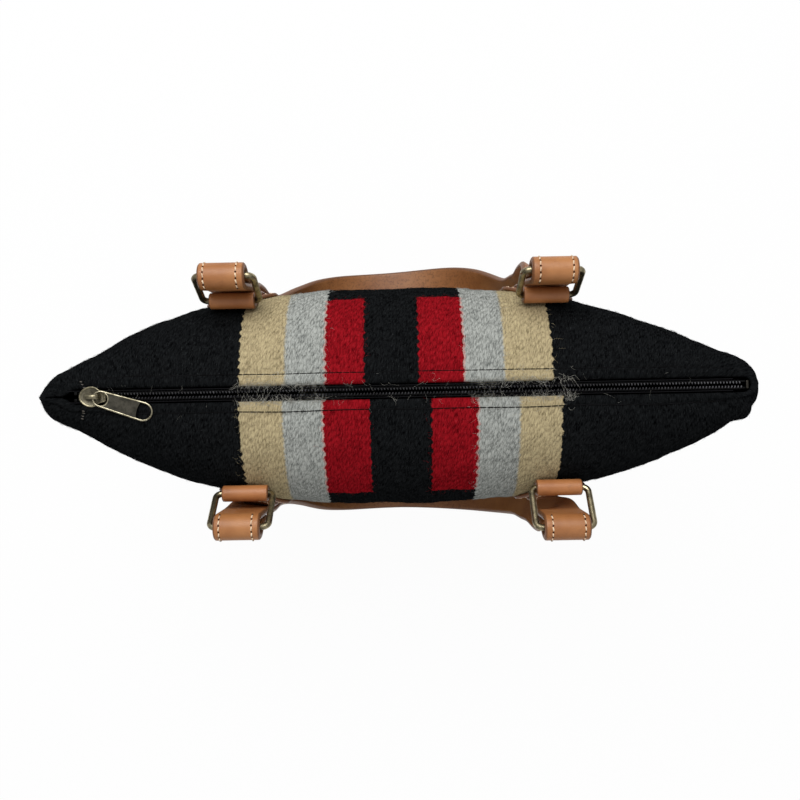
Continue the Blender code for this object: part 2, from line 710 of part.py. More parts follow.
def tab_rows(side, tab_x):
    """The strip's middle layer: up the cloth, round the ring and down over itself."""
    sign = SIDE_SIGN[side]
    under = TAB_SEAT + TAB_LEATHER / 2
    over = under + TAB_LEATHER + CLEARANCE
    axis = tab_axis_depth(side)
    middle = TAB_EYE_RADIUS + TAB_LEATHER / 2
    across = [-1.0, 0.0, 1.0]
    rows = []
    for step in range(CLIMB_STEPS + 1):
        z = mix(PATCH_FOOT, TAB_WRAP_START, step / CLIMB_STEPS)
        half = patch_half_width(z)
        row = []
        for part in across:
            x = tab_x + part * half
            depth, height = off_cloth(x, z, side, under)
            row.append(Vector((x, sign * depth, height)))
        rows.append(row)
    for step in range(WRAP_STEPS + 1):
        turn = math.radians(mix(*TAB_WRAP, step / WRAP_STEPS))
        depth = axis + middle * math.cos(turn)
        height = TAB_AXIS_HEIGHT + middle * math.sin(turn)
        half = TAB_WIDTH / 2
        rows.append([Vector((tab_x + part * half, sign * depth, height)) for part in across])
    for step in range(TONGUE_STEPS + 1):
        z = mix(TAB_WRAP_END, TONGUE_FOOT, step / TONGUE_STEPS)
        row = []
        for part in across:
            x = tab_x + part * TAB_WIDTH / 2
            depth, height = off_cloth(x, z, side, over)
            row.append(Vector((x, sign * depth, height)))
        rows.append(row)
    return rows


def make_tab(group, side, end, tab_x):
    name = f"ring_tab_{side}_{end}"
    mesh = skin(name, tab_rows(side, tab_x))
    tab = add_piece(group, name, mesh, ["tan_leather"], smooth=50.0)
    thicken(tab, TAB_LEATHER, 0.0)


def outer_axis(side, end):
    """Depth and height of a ring's outer bar, which the handle turns on."""
    angle = math.radians(of_end(RING_ELEVATION[side], end))
    depth = tab_axis_depth(side) + RING_DEPTH * math.cos(angle)
    return depth, TAB_AXIS_HEIGHT + RING_DEPTH * math.sin(angle)


def ring_points():
    """A rounded rectangle that starts on the inner bar and reaches along +Y."""
    half = RING_WIDTH / 2
    corners = ((half, 0, -90), (half, RING_DEPTH, 0), (-half, RING_DEPTH, 90), (-half, 0, 180))
    points = []
    for x, y, start in corners:
        centre_x = x - math.copysign(RING_CORNER, x)
        centre_y = y + (RING_CORNER if y == 0 else -RING_CORNER)
        for step in range(CORNER_STEPS + 1):
            turn = math.radians(start + 90 * step / CORNER_STEPS)
            points.append((centre_x + RING_CORNER * math.cos(turn),
                           centre_y + RING_CORNER * math.sin(turn), 0.0))
    return points


def ring_x(side, end):
    return of_end(TAB_X[side], end) + END_SIGN[end] * RING_SHIFT


def make_ring(group, side, end):
    name = f"ring_{side}_{end}"
    mesh = wire(name, ring_points(), RING_WIRE_RADIUS, closed=True)
    ring = add_piece(group, name, mesh, ["antique_brass"], smooth=60.0)
    elevation = of_end(RING_ELEVATION[side], end)
    turn = elevation if side == "back" else 180.0 - elevation
    ring.rotation_euler = (math.radians(turn), 0, 0)
    ring.location = (ring_x(side, end), SIDE_SIGN[side] * tab_axis_depth(side), TAB_AXIS_HEIGHT)


# The handles

def strap_ends(side):
    """X of the middle of the strap at its two rings."""
    return ring_x(side, "left") - STRAP_SHIFT, ring_x(side, "right") + STRAP_SHIFT


def eye_height(side, end):
    """Height of the strap eye's centre: the eye hangs on the ring's outer bar."""
    return outer_axis(side, end)[1] - EYE_HANG[side]


def leg_twist(side, end, z):
    """How far a leg has turned its inner edge away from the bag, in radians."""
    tail_foot = eye_height(side, end) - STRAP_TAIL
    return math.radians(of_end(LEG_TWIST[side], end)) * ease((tail_foot - z) / TWIST_LENGTH)


def clear_depth(side, end, x, z, turn, twist):
    """Depth the strap's middle needs at a place, so that all its width clears the cloth."""
    tongue = ease((z - TONGUE_FOOT) / LAYER_CLEAR + 1)
    patch = ease((z - PATCH_FOOT) / LAYER_CLEAR + 1)
    stack = patch * (TAB_SEAT + TAB_LEATHER) + tongue * (TAB_LEATHER + CLEARANCE)
    need = 0.0
    for part in (-1.0, -0.5, 0.0, 0.5, 1.0):
        edge = STRAP_WIDTH / 2 * part
        inboard = edge * math.cos(twist)
        across = x - END_SIGN[end] * inboard * math.cos(turn)
        depth = cloth_depth(across, z + inboard * math.sin(turn), side)
        need = max(need, depth + stack - edge * math.sin(twist))
    if z > TAB_WRAP_END:
        need = max(need, tab_axis_depth(side) + TAB_LOOP)
    return need + STRAP_THICKNESS / 2 + STRAP_CLEAR


def leg_depth(side, end, z):
    """Depth of a hanging leg's middle layer: straight down, but clear of the tab."""
    axis_depth, axis_height = outer_axis(side, end)
    hanging = axis_depth - STRAP_EYE_RADIUS - STRAP_THICKNESS / 2
    strap_x = of_end(strap_ends(side), end)
    clear = clear_depth(side, end, strap_x, z, 0.0, leg_twist(side, end, z))
    fall = ease((axis_height - LEG_HANG - z) / LEG_LEAN)
    return mix(hanging, max(clear, hanging), fall)


def strap_run(side, end):
    """Places along one handle, from the tail at one end to the handle's middle."""
    axis_depth = outer_axis(side, end)[0]
    eye = STRAP_EYE_RADIUS + STRAP_THICKNESS / 2
    eye_z = eye_height(side, end)
    bend_z = MOUTH_HEIGHT - of_end(BEND_DROP[side], end)
    ends = strap_ends(side)
    start = of_end(ends, end)
    centre = sum(ends) / 2
    ply = STRAP_THICKNESS + 2 * CLEARANCE
    run = []
    for step in range(TAIL_STEPS + 1):
        z = mix(eye_z - STRAP_TAIL, eye_z - EYE_NECK, step / TAIL_STEPS)
        opened = ease((z - eye_z) / EYE_OPENING + 1)
        above = leg_depth(side, end, z + SLOPE_STEP)
        below = leg_depth(side, end, z - SLOPE_STEP)
        lean = (above - below) / (2 * SLOPE_STEP)
        tail = leg_depth(side, end, z) + ply * math.hypot(1.0, lean)
        run.append((start, mix(tail, axis_depth + eye, opened), z, 0.0))
    for step in range(ROUND_STEPS + 1):
        turn = math.radians(mix(EYE_START, 180 - EYE_START, step / ROUND_STEPS))
        run.append((start, axis_depth + eye * math.cos(turn), eye_z + eye * math.sin(turn), 0.0))
    for step in range(LEG_STEPS + 1):
        z = mix(eye_z - EYE_NECK, bend_z, step / LEG_STEPS)
        run.append((start, leg_depth(side, end, z), z, leg_twist(side, end, z)))
    start_twist = leg_twist(side, end, bend_z)
    for step in range(1, BEND_STEPS + 1):
        turn = math.pi / 2 * step / BEND_STEPS
        reach = math.cos(turn) ** (2 / BEND_SQUARENESS) if step < BEND_STEPS else 0.0
        z = mix(bend_z, LOW_HEIGHT, math.sin(turn) ** (2 / BEND_SQUARENESS))
        low = LOW_DEPTH[side] + END_SIGN[end] * LOW_SLANT[side] * reach
        swung = ease(math.sin(turn) ** BEND_DEPTH_POWER)
        twist = mix(start_twist, math.pi / 2, ease(turn / math.radians(BEND_TWIST_END)))
        x = mix(centre, start, reach)
        depth = mix(leg_depth(side, end, z), low, swung)
        depth = max(depth, clear_depth(side, end, x, z, turn, twist))
        run.append((x, depth, z, twist))
    return run


def strap_stations(side):
    """Places along one handle, from its left tail to its right tail."""
    return strap_run(side, "left") + list(reversed(strap_run(side, "right")[:-1]))


def strap_rows(side):
    """Rows across the strap, its width turned from along the bag to across it."""
    sign = SIDE_SIGN[side]
    stations = strap_stations(side)
    centre = sum(strap_ends(side)) / 2
    points = [Vector((x, sign * depth, z)) for x, depth, z, twist in stations]
    rows = []
    for i, (x, depth, z, twist) in enumerate(stations):
        before = points[max(i - 1, 0)]
        after = points[min(i + 1, len(points) - 1)]
        along = (after - before).normalized()
        outward = Vector((0, sign, 0))
        outward = (outward - along * outward.dot(along)).normalized()
        inboard = along.cross(outward)
        inward = centre - x if abs(centre - x) > 0.0001 else 1.0
        upright = Vector((0, 0, 1)) if abs(along.x) > 0.9 else Vector((inward, 0, 0))
        if inboard.dot(upright) < 0:
            inboard = -inboard
        if twist == 0.0:
            width = Vector((math.copysign(1.0, inward), 0, 0))
        else:
            width = inboard * math.cos(twist) + outward * math.sin(twist)
        half = STRAP_WIDTH / 2
        rows.append([points[i] + width * (half * part) for part in (-1.0, -1 / 3, 1 / 3, 1.0)])
    return rows


def make_handle(group, side):
    name = f"handle_{side}"
    mesh = skin(name, strap_rows(side))
    (left_x, right_x) = (ring_x(side, end) for end in END_SIGN)
    (left, right) = (Vector(outer_axis(side, end)) for end in END_SIGN)
    axis_depth, axis_height = left.lerp(right, left_x / (left_x - right_x))
    origin = (0, SIDE_SIGN[side] * axis_depth, axis_height)
    handle = add_piece(group, name, mesh, ["tan_leather"], origin=origin, smooth=50.0)
    thicken(handle, STRAP_THICKNESS, 0.0)


def main():
    clear_scene()
    bag = new_collection("tote_bag")
    cutters = new_collection("cutters")
    make_woven_body(bag)
    make_zip(bag)
    make_slider(bag, cutters)
    make_pull(bag, cutters)
    for side in SIDE_SIGN:
        for end, tab_x in zip(END_SIGN, TAB_X[side]):
            make_tab(bag, side, end, tab_x)
            make_ring(bag, side, end)
        make_handle(bag, side)


main()
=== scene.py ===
"""Looks of a woven wool tote bag with a zipped mouth, leather tabs, brass rings and two handles.

Metres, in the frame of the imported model: +X along the zip, +Y towards the back, +Z up.
"""
import json
import math
import random

import bmesh
import bpy
from mathutils import Matrix, Vector, noise


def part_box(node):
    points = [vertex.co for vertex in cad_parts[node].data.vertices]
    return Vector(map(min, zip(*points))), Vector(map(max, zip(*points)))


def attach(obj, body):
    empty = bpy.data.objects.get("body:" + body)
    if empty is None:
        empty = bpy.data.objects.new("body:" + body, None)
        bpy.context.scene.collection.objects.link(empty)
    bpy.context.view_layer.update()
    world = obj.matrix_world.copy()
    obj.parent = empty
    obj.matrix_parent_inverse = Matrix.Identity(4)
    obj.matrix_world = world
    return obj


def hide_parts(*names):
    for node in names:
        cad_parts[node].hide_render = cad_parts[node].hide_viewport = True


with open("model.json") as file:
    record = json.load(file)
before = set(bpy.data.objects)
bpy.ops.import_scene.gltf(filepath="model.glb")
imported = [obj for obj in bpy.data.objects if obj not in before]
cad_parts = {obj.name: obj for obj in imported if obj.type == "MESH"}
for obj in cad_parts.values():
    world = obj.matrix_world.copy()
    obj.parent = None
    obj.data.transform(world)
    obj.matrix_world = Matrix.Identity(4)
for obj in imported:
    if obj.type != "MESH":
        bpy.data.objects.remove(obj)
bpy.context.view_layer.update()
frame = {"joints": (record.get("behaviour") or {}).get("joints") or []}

UP = Vector((0, 0, 1))
ALONG = Vector((1, 0, 0))
ACROSS = Vector((0, 1, 0))
SIDE_SIGN = {"back": 1.0, "front": -1.0}
END_SIGN = {"left": -1.0, "right": 1.0}

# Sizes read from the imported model.
BODY_LOW, BODY_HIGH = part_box("woven_body")
HEM_HEIGHT = BODY_HIGH.z
MOUTH_HALF_LENGTH = BODY_HIGH.x
HALF_DEPTH = {"back": BODY_HIGH.y, "front": -BODY_LOW.y}
JOINT = {joint["name"]: joint for joint in frame["joints"]}
TAB_AXIS = {side: Vector(JOINT[f"{side}_left_ring_swing"]["pos_m"]) for side in SIDE_SIGN}
PULL_BAR = Vector(JOINT["pull_swing"]["pos_m"])
RING_X = {side: tuple(JOINT[f"{side}_{end}_ring_swing"]["pos_m"][0] for end in END_SIGN)
          for side in SIDE_SIGN}

# The cloth shell, as in the CAD source.
HEM_RISE = 0.0008
MOUTH_HEIGHT = HEM_HEIGHT - HEM_RISE
SLIT_INSET = 0.0075
CROWN_DROP = 0.055
TIP_DROP = 0.010
BASE_HALF_LENGTH = 0.165
BASE_HALF_DEPTH = 0.0575
BASE_EDGE_RADIUS = 0.012
CLOTH_THICKNESS = 0.0038
TIP_RADIUS = 0.0025
TIP_REACH = 0.013
LENS_POWER = 2.5
LENS_FULLNESS = 0.85
BASE_SQUARENESS = 8
SEAM_CURVE = 0.35
HEM_HALF_GAP = 0.0046
SLIT_HALF_LENGTH = MOUTH_HALF_LENGTH - SLIT_INSET
FIELD_HALF_LENGTH = 0.1278
SHOULDER_SWELL = {"back": (0.0030, 0.0000), "front": (0.0, 0.0030)}
TIP_SWELL = {"back": (0.0, 0.0024), "front": (0.0, 0.0072)}
SWELL_START = 0.095
SWELL_RISE = 0.040
SHOULDER_X = 0.150
TIP_X = 0.205
TIP_CLOSE_X = 0.2145

# The cloth's finer form.
HEM_ROLL = 0.0018
FOLD_PUFF = 0.0009
FOLD_PUFF_AT = 0.0050
FOLD_PUFF_WIDTH = 0.0024
STITCH_LINE = {"back": 0.0064, "front": 0.0054}
STITCH_GROOVE = 0.0011
STITCH_GROOVE_WIDTH = 0.0012
STITCH_WAVE = 0.00035
LEFT_CLOSE_X = -0.193
LEFT_CLOSE_LENGTH = 0.010
LEFT_CLOSE_GAP = 0.0004
UNEVEN = 0.0006
UNEVEN_SCALE = 48.0
LUMPY = 0.00025
LUMPY_SCALE = 210.0
CORNER_FOLD = ((0.2055, -0.0013, 0.0040), (0.2122, 0.0010, 0.0022), (0.2164, -0.0014, 0.0010))
CORNER_FOLD_FOOT = 0.262
CORNER_FOLD_FADE = 0.020
CORNER_FOLD_HEM = 0.0068
CORNER_FOLD_RISE = 0.0040

# The zip, as in the CAD source.
CLEARANCE = 0.0003
CHANNEL_HALF_WIDTH = 0.00105
COIL_WIDTH = 0.0019
COIL_HEIGHT = 0.0020
TAPE_THICKNESS = 0.0005
COIL_LOW, COIL_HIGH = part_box("zipper_coil_back")
TAPE_LOW, TAPE_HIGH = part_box("zipper_tape_back")
LEFT_STOP_LOW, LEFT_STOP_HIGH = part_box("zipper_stop_left_back")
RIGHT_STOP_LOW, RIGHT_STOP_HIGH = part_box("zipper_stop_right")
TOOTH_PITCH = 0.0019
TOOTH_WIRE = 0.00038
TOOTH_HEAD = 0.0008
TOOTH_REACH = 0.00022
HEAD_PROFILE = ((0.0, -0.0003), (0.3, 0.0), (0.7, 0.0), (1.0, -0.0004))
CORE_HALF_HEIGHT = 0.00055
RUBBED_COIL = (0.150, 0.205)
TWILL_PITCH = 0.0009

# The slider and its pull.
SLIDER_LOW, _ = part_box("slider_body")
SLIDER_NOSE = 0.0078
SLIDER_TAIL = 0.0084
SLIDER_X = SLIDER_LOW.x + SLIDER_NOSE
SLIDER_HALF_WIDTH = 0.0063
SLIDER_SHOULDER = 0.0046
SLIDER_WAIST_HALF_WIDTH = 0.0041
SLIDER_TAIL_HALF_WIDTH = 0.0034
SLIDER_PLATE = 0.0010
SLIDER_SEAT = MOUTH_HEIGHT + COIL_HEIGHT / 2 + CLEARANCE
PLATE_TOP = SLIDER_SEAT + SLIDER_PLATE
PLATE_RIM = ((0.0, 0.00040), (0.00010, 0.00018), (0.00028, 0.00005), (0.0005, 0.0), (0.0008, 0.00008),
             (0.0011, 0.00028), (0.0013, 0.00034))
KEEL_HALF_LENGTH = 0.0035
BRIDGE_HALF_WIDTH = 0.0013
BRIDGE_HALF_THICKNESS = 0.0008
BRIDGE_HEIGHT = 0.0031
BRIDGE_NOSE_REACH = 0.0050
BRIDGE_TAIL_REACH = 0.0031
PULL_WIRE = 0.00058
PULL_LENGTH = 0.0363
PULL_EYE_RADIUS = 0.0050
PULL_RIM = 0.0013
PULL_EYE_X = PULL_EYE_RADIUS - PULL_RIM / 2
PULL_HALF_WIDTH = 0.0059
PULL_END_ROUND = 0.0062
PULL_HOLE_LENGTH = 0.0087
PULL_PANEL = 0.0006
PANEL_COLUMNS = 10
PANEL_BOW = 0.0010
PULL_YAW = -18.0
PULL_DROOP = 2.6

# The rings, tabs and handles, as in the CAD source.
RING_WIRE_RADIUS = 0.0020
RING_DEPTH = 0.028
RING_WIDTH = 0.035
RING_CORNER = 0.0038
RING_ELEVATION = {"back": (65.0, 65.0), "front": (51.0, 38.0)}
RING_SHIFT = 0.0005
TAB_LEATHER = 0.0024
TAB_EYE_RADIUS = 0.0026
TAB_WIDTH = 0.0285
TAB_SEAT = 0.0005
TAB_WRAP = (222.0, -28.0)
TAB_WRAP_START_DROP = 0.0110
TAB_WRAP_END_DROP = 0.0115
TAB_LOOP = TAB_EYE_RADIUS + TAB_LEATHER
PATCH_WIDTH = 0.046
PATCH_FOOT = MOUTH_HEIGHT - 0.104
PATCH_SHOULDER = MOUTH_HEIGHT - 0.038
PATCH_FOOT_ROUND = 0.022
PATCH_SHOULDER_ROUND = 0.014
PATCH_SHOULDER_RISE = 0.010
TONGUE_FOOT = MOUTH_HEIGHT - 0.074
STRAP_WIDTH = 0.028
STRAP_THICKNESS = 0.0042
STRAP_EYE_RADIUS = 0.0038
EYE_HANG = {"back": 0.0015, "front": 0.0010}
STRAP_SHIFT = 0.0006
STRAP_TAIL = 0.027
STRAP_CLEAR = 0.0010
EYE_OPENING = 0.016
LOOSE_FACING = -0.92
LOOSE_DROP = 0.031
EYE_NECK = 0.003
EYE_START = 10.0
LEG_HANG = 0.003
LEG_LEAN = 0.020
TWIST_LENGTH = 0.030
BEND_DROP = {"back": (0.078, 0.078), "front": (0.078, 0.052)}
LOW_HEIGHT = MOUTH_HEIGHT - 0.192
LOW_STANDOFF = {"back": 0.0177, "front": 0.0070}
LOW_SLANT = {"back": 0.0062, "front": 0.0020}
LEG_TWIST = {"back": (12.0, 36.0), "front": (13.0, 58.0)}
LAYER_CLEAR = 0.012
BEND_SQUARENESS = 2.15
BEND_TWIST_END = 86.0
BEND_DEPTH_POWER = 1.5
SLOPE_STEP = 0.0005

# The woven bands: lines along X where one wool meets the next, back and front.
BAND_EDGES = {
    "back": (-0.0955, -0.0682, -0.0437, -0.0205, 0.0125, 0.0395, 0.0640, 0.0930),
    "front": (-0.0960, -0.0700, -0.0455, -0.0175, 0.0198, 0.0474, 0.0730, 0.0985),
}
BAND_WOOLS = ("black", "cream", "grey", "red", "black", "red", "grey", "cream", "black")
RED_BLOCK_LENGTH = {"back": 0.0655, "front": 0.0690}
WOOLS = {
    "black": ((0.0075, 0.0083, 0.0089), (0.0001, 0.0001, 0.0002)),
    "cream": ((0.398, 0.328, 0.191), (0.186, 0.148, 0.082)),
    "grey": ((0.330, 0.342, 0.320), (0.096, 0.103, 0.096)),
    "red": ((0.240, 0.0062, 0.0108), (0.072, 0.0014, 0.0027)),
}
HAIRS = {
    "black": ((0.024, 0.026, 0.027), (0.005, 0.005, 0.006)),
    "cream": ((0.44, 0.375, 0.245), (0.28, 0.235, 0.145)),
    "grey": ((0.35, 0.36, 0.34), (0.20, 0.21, 0.20)),
    "red": ((0.26, 0.012, 0.017), (0.14, 0.005, 0.007)),
}
GRAIN_WIDTH = 0.0020
GRAIN_LENGTH = 0.0046
STREAK_LEAN = 0.26
SCALLOP_PITCH = 0.0062
SCALLOP_DEPTH = 0.00050
EDGE_BLUR = 0.00024
SOFT_EDGE_BLUR = 0.0007
SOFT_EDGES = (1, 6)
FOLD_END = 0.0075
FRAY = 0.0016
SMEAR = 0.0040
PINK_RIM = 0.0009
PINKS = ((0.46, 0.24, 0.21), (0.30, 0.11, 0.10))

# The sewing.
STITCH_PITCH = 0.0039
STITCH_LENGTH = 0.0026
STITCH_SLANT = 0.16
STITCH_THREAD = 0.00044
STITCH_ROWS = (-0.0101, 0.0092)
HOLE_RADIUS = 0.00058
HOLE_RISE = 0.00010
HOLE_SINK = 0.00004
TAB_STITCH_INSET = 0.0032
TAB_STITCH_PITCH = 0.0036
TAB_STITCH_LENGTH = 0.0027
TAB_STITCH_LENGTH = 0.0027
TAB_THREAD = STITCH_THREAD * 0.9
TAB_ROW_INSET = 0.004
PATCH_ROW_INSET = 0.003
STITCH_START = 0.0022
STITCH_PROFILE = ((-0.5, -0.9, 0.55), (-0.38, 0.15, 0.95), (0.0, 0.45, 1.0), (0.38, 0.15, 0.95),
                  (0.5, -0.9, 0.55))
TANGENT_STEP = 0.001
# How finely the strips, wires and threads are divided.
RIM_STEPS = 4
RIM_ROUND = 0.75
RIM_TURN = 68
RING_WEAR = 0.00005
RING_WEAR_SCALE = 160.0
RING_CORNER_STEPS = 8
RING_STEP = 0.0012
WIRE_SIDES = 16
TAB_ACROSS = 14
CLIMB_STEPS = 40
WRAP_STEPS = 26
TONGUE_STEPS = 18
STRAP_ACROSS = 10
TAIL_STEPS = 16
EYE_STEPS = 22
LEG_STEPS = 26
BEND_STEPS = 44
STRAP_PITCH = 0.0024
STRAP_SMOOTHING = 14
THREAD_SIDES = 6
HOLE_SIDES = 8

NOSE_STEPS = 10
BRIDGE_STEPS = 24
PULL_STEPS = 14
TAPE_STEP = 0.003
TAPE_ROWS = 4
TAPE_SWAY = 0.00008

# The threads and hairs on the cloth.
HEM_SEAM_START = -0.186
HEM_SEAM_END = 0.206
HEM_STITCH_PITCH = 0.0043
HEM_STITCH_LENGTH = 0.0046
HEM_THREAD = 0.00032
TACKS = (("front", 0.0052, 1.0, 4), ("back", 0.0022, -1.0, 3))
TACK_X = -0.1962
TACK_PITCH = 0.0019
TACK_LENGTH = 0.0017
TACK_THREAD = 0.00020
FUZZ_COUNT = 8200
FUZZ_REACH = 0.105
FIBRE_STEPS = 3
FIBRE_RADIUS = 0.000055
FUZZ_LENGTH = (0.0018, 0.0050)
FUZZ_RISE = (0.0002, 0.0009)
FUZZ_CURL = 0.0006
FUZZ_STRAY = 0.0012
HAIR_PATCHES = ((-0.097, -0.044, 330, 0.000085), (0.044, 0.106, 330, 0.000085),
                (-0.040, 0.038, 30, 0.00005), (-0.19, 0.20, 36, 0.00004))
HAIR_DROP = (0.0004, 0.0040)
HAIR_SPREAD = 0.008
HAIR_LEAN = 0.8
HAIR_LENGTH = (0.0022, 0.0076)
HAIR_RISE = (0.0002, 0.0010)
HAIR_CURL = 0.0008
HAIR_WAVES = (2.0, 5.5)
RUBBED_X = 0.184
RUBBED_HALF_WIDTH = 0.0095
HEM_HAIR_STEPS = 9

# How finely the cloth is divided.
FIELD_STEPS = 108
END_STEPS = 44
END_CROWDING = 1.4
END_SAMPLES = 400
ROLL_STEPS = 4
ROLL_SHARE = 0.3
CROWN_STEPS = 34
SIDE_STEPS = 30
EDGE_STEPS = 4
BASE_STEPS = 4

# The camera and the light.
IMAGE_SIZE = 800
PIXEL = 0.0006
CAMERA_HEIGHT = 0.500
LENS = 37.5
SENSOR = 36.0
ZIP_PIXEL = (398.5, 391.0)
CAMERA_ROLL = -1.1
FLOOR_HALF = 4.0
FLOOR_COLOUR = (0.80, 0.80, 0.80)
FLOOR_WHITE = 0.96
LAMPS = {"key_light": ((-0.15, 0.75, 1.35), 1.1, 17.0), "fill_light": ((0.30, -0.95, 1.15), 1.4, 1.2)}
SKY_LOW = 0.30
SKY_HIGH = 0.62
WHITE = (1.0, 1.0, 1.0)


def ease(fraction):
    """A smooth step from 0 to 1 with level ends."""
    held = min(max(fraction, 0.0), 1.0)
    return held * held * (3 - 2 * held)


def mix(low, high, fraction):
    return low + (high - low) * fraction


def series(low, high, count):
    """Values in even steps from low to high, both ends included."""
    return [mix(low, high, step / count) for step in range(count + 1)]


def arc(centre, radii, turns, count):
    """Points on an oval between two turns in degrees."""
    angles = [math.radians(turn) for turn in series(*turns, count)]
    return [(centre[0] + radii[0] * math.cos(t), centre[1] + radii[1] * math.sin(t)) for t in angles]


def oval(half_x, half_y, count):
    """Points all round an oval."""
    return arc((0.0, 0.0), (half_x, half_y), (0, 360), count)[:-1]


def of_end(pair, end):
    """The value for one end of a pair kept as (left, right)."""
    return pair[0 if end == "left" else 1]


def bump_at(value, centre, width):
    return math.exp(-(((value - centre) / width) ** 2))


# Shader graphs

class Graph:
    """A node tree and short ways to add the nodes that a look needs."""

    def __init__(self, tree):
        self.tree = tree

    def feed(self, socket, value):
        if isinstance(value, bpy.types.NodeSocket):
            self.tree.links.new(value, socket)
        elif isinstance(value, tuple) and len(value) == 3 and len(socket.default_value) == 4:
            socket.default_value = (*value, 1.0)
        else:
            socket.default_value = value

    def new(self, kind, feeds=(), **settings):
        """A node with its settings made and its sockets fed, each by its name or number."""
        node = self.tree.nodes.new(f"ShaderNode{kind}")
        for key, value in settings.items():
            setattr(node, key, value)
        for key, value in dict(feeds).items():
            self.feed(node.inputs[key], value)
        return node

    def math(self, operation, *values, clamp=False):
        return self.new("Math", enumerate(values), operation=operation, use_clamp=clamp).outputs[0]

    def times(self, first, second):
        return self.math("MULTIPLY", first, second)

    def plus(self, first, second):
        return self.math("ADD", first, second)

    def minus(self, first, second, clamp=False):
        return self.math("SUBTRACT", first, second, clamp=clamp)

    def scaled(self, value, factor, offset, clamp=False):
        return self.math("MULTIPLY_ADD", value, factor, offset, clamp=clamp)

    def size(self, value):
        return self.math("ABSOLUTE", value)

    def mix(self, factor, first, second):
        return self.new("Mix", {0: factor, 6: first, 7: second}, data_type="RGBA").outputs[2]

    def span(self, *values):
        """A value moved smoothly from one range to another, which is 0 to 1 unless given."""
        return self.new("MapRange", enumerate(values), interpolation_type="SMOOTHSTEP").outputs[0]

    def noise(self, place, scale, detail=2.0, roughness=0.5, output="Fac"):
        feeds = {"Vector": place, "Scale": scale, "Detail": detail, "Roughness": roughness}
        return self.new("TexNoise", feeds).outputs[output]

    def object_place(self):
        return self.new("TexCoord").outputs["Object"]

    def parts(self, vector):
        return self.new("SeparateXYZ", {0: vector}).outputs

    def place(self, x, y):
        return self.new("CombineXYZ", {0: x, 1: y}).outputs[0]

    def attribute(self, name):
        return self.new("Attribute", attribute_name=name).outputs["Fac"]


class Look(Graph):
    """A procedural material round its principled shader."""

    def __init__(self, name, preview, roughness=0.9, metallic=0.0):
        self.material = bpy.data.materials.new(name)
        self.material.use_nodes = True
        self.material.diffuse_color = (*preview, 1.0)
        super().__init__(self.material.node_tree)
        self.shader = self.tree.nodes["Principled BSDF"]
        self.set("Roughness", roughness)
        self.set("Metallic", metallic)

    def set(self, name, value):
        self.feed(self.shader.inputs[name], value)

    def bump(self, height, distance, strength):
        feeds = {"Distance": distance, "Strength": strength, "Height": height}
        self.set("Normal", self.new("Bump", feeds).outputs[0])


def band_colour(graph, along, drop, on_front, tone):
    """The wool's colour at a spot: bands along X, with scalloped, hairy meeting lines."""
    times, plus, minus, scaled = graph.times, graph.plus, graph.minus, graph.scaled
    down = graph.size(drop)
    spot = graph.place(along, drop)
    rough = graph.noise(spot, 300.0)
    hair = graph.noise(graph.place(times(along, 0.30), drop), 2600.0, 1.0)
    drift = graph.noise(spot, 36.0, 1.0)
    turn = scaled(drift, 16.0, times(down, 2 * math.pi / SCALLOP_PITCH))
    swing = graph.span(graph.noise(spot, 110.0, 0.0), 0.30, 0.62, 0.25, 1.35)
    wave = times(times(graph.math("SINE", turn), SCALLOP_DEPTH), swing)
    fray = scaled(hair, FRAY, -FRAY / 2)
    slow = scaled(rough, FRAY, -FRAY / 2)
    ragged = plus(plus(wave, fray), slow)
    smeared = scaled(hair, SMEAR, plus(slow, -SMEAR / 2))
    back_foot, front_foot = RED_BLOCK_LENGTH["back"], RED_BLOCK_LENGTH["front"]
    foot = scaled(on_front, front_foot - back_foot, back_foot)
    below = graph.math("GREATER_THAN", plus(scaled(rough, 0.0030, fray), down), foot)
    shades = {wool: graph.mix(tone, dark, light) for wool, (light, dark) in WOOLS.items()}
    shades["red"] = graph.mix(below, shades["red"], shades["black"])
    pink = graph.mix(tone, PINKS[1], PINKS[0])
    colour = shades[BAND_WOOLS[0]]
    for k, (back, front) in enumerate(zip(BAND_EDGES["back"], BAND_EDGES["front"])):
        soft = k in SOFT_EDGES
        blur = SOFT_EDGE_BLUR if soft else EDGE_BLUR
        edge = scaled(on_front, front - back, back)
        place = plus(along, smeared if soft else ragged)
        past = graph.span(minus(place, edge), -blur, blur)
        before, after = BAND_WOOLS[k:k + 2]
        colour = graph.mix(past, colour, shades[after])
        if {before, after} == {"grey", "red"}:
            toward = PINK_RIM if before == "grey" else -PINK_RIM
            shifted = graph.span(minus(plus(place, toward), edge), -blur, blur)
            rim = times(graph.size(minus(shifted, past)), minus(1.0, below))
            colour = graph.mix(times(rim, 0.7), colour, pink)
    return colour


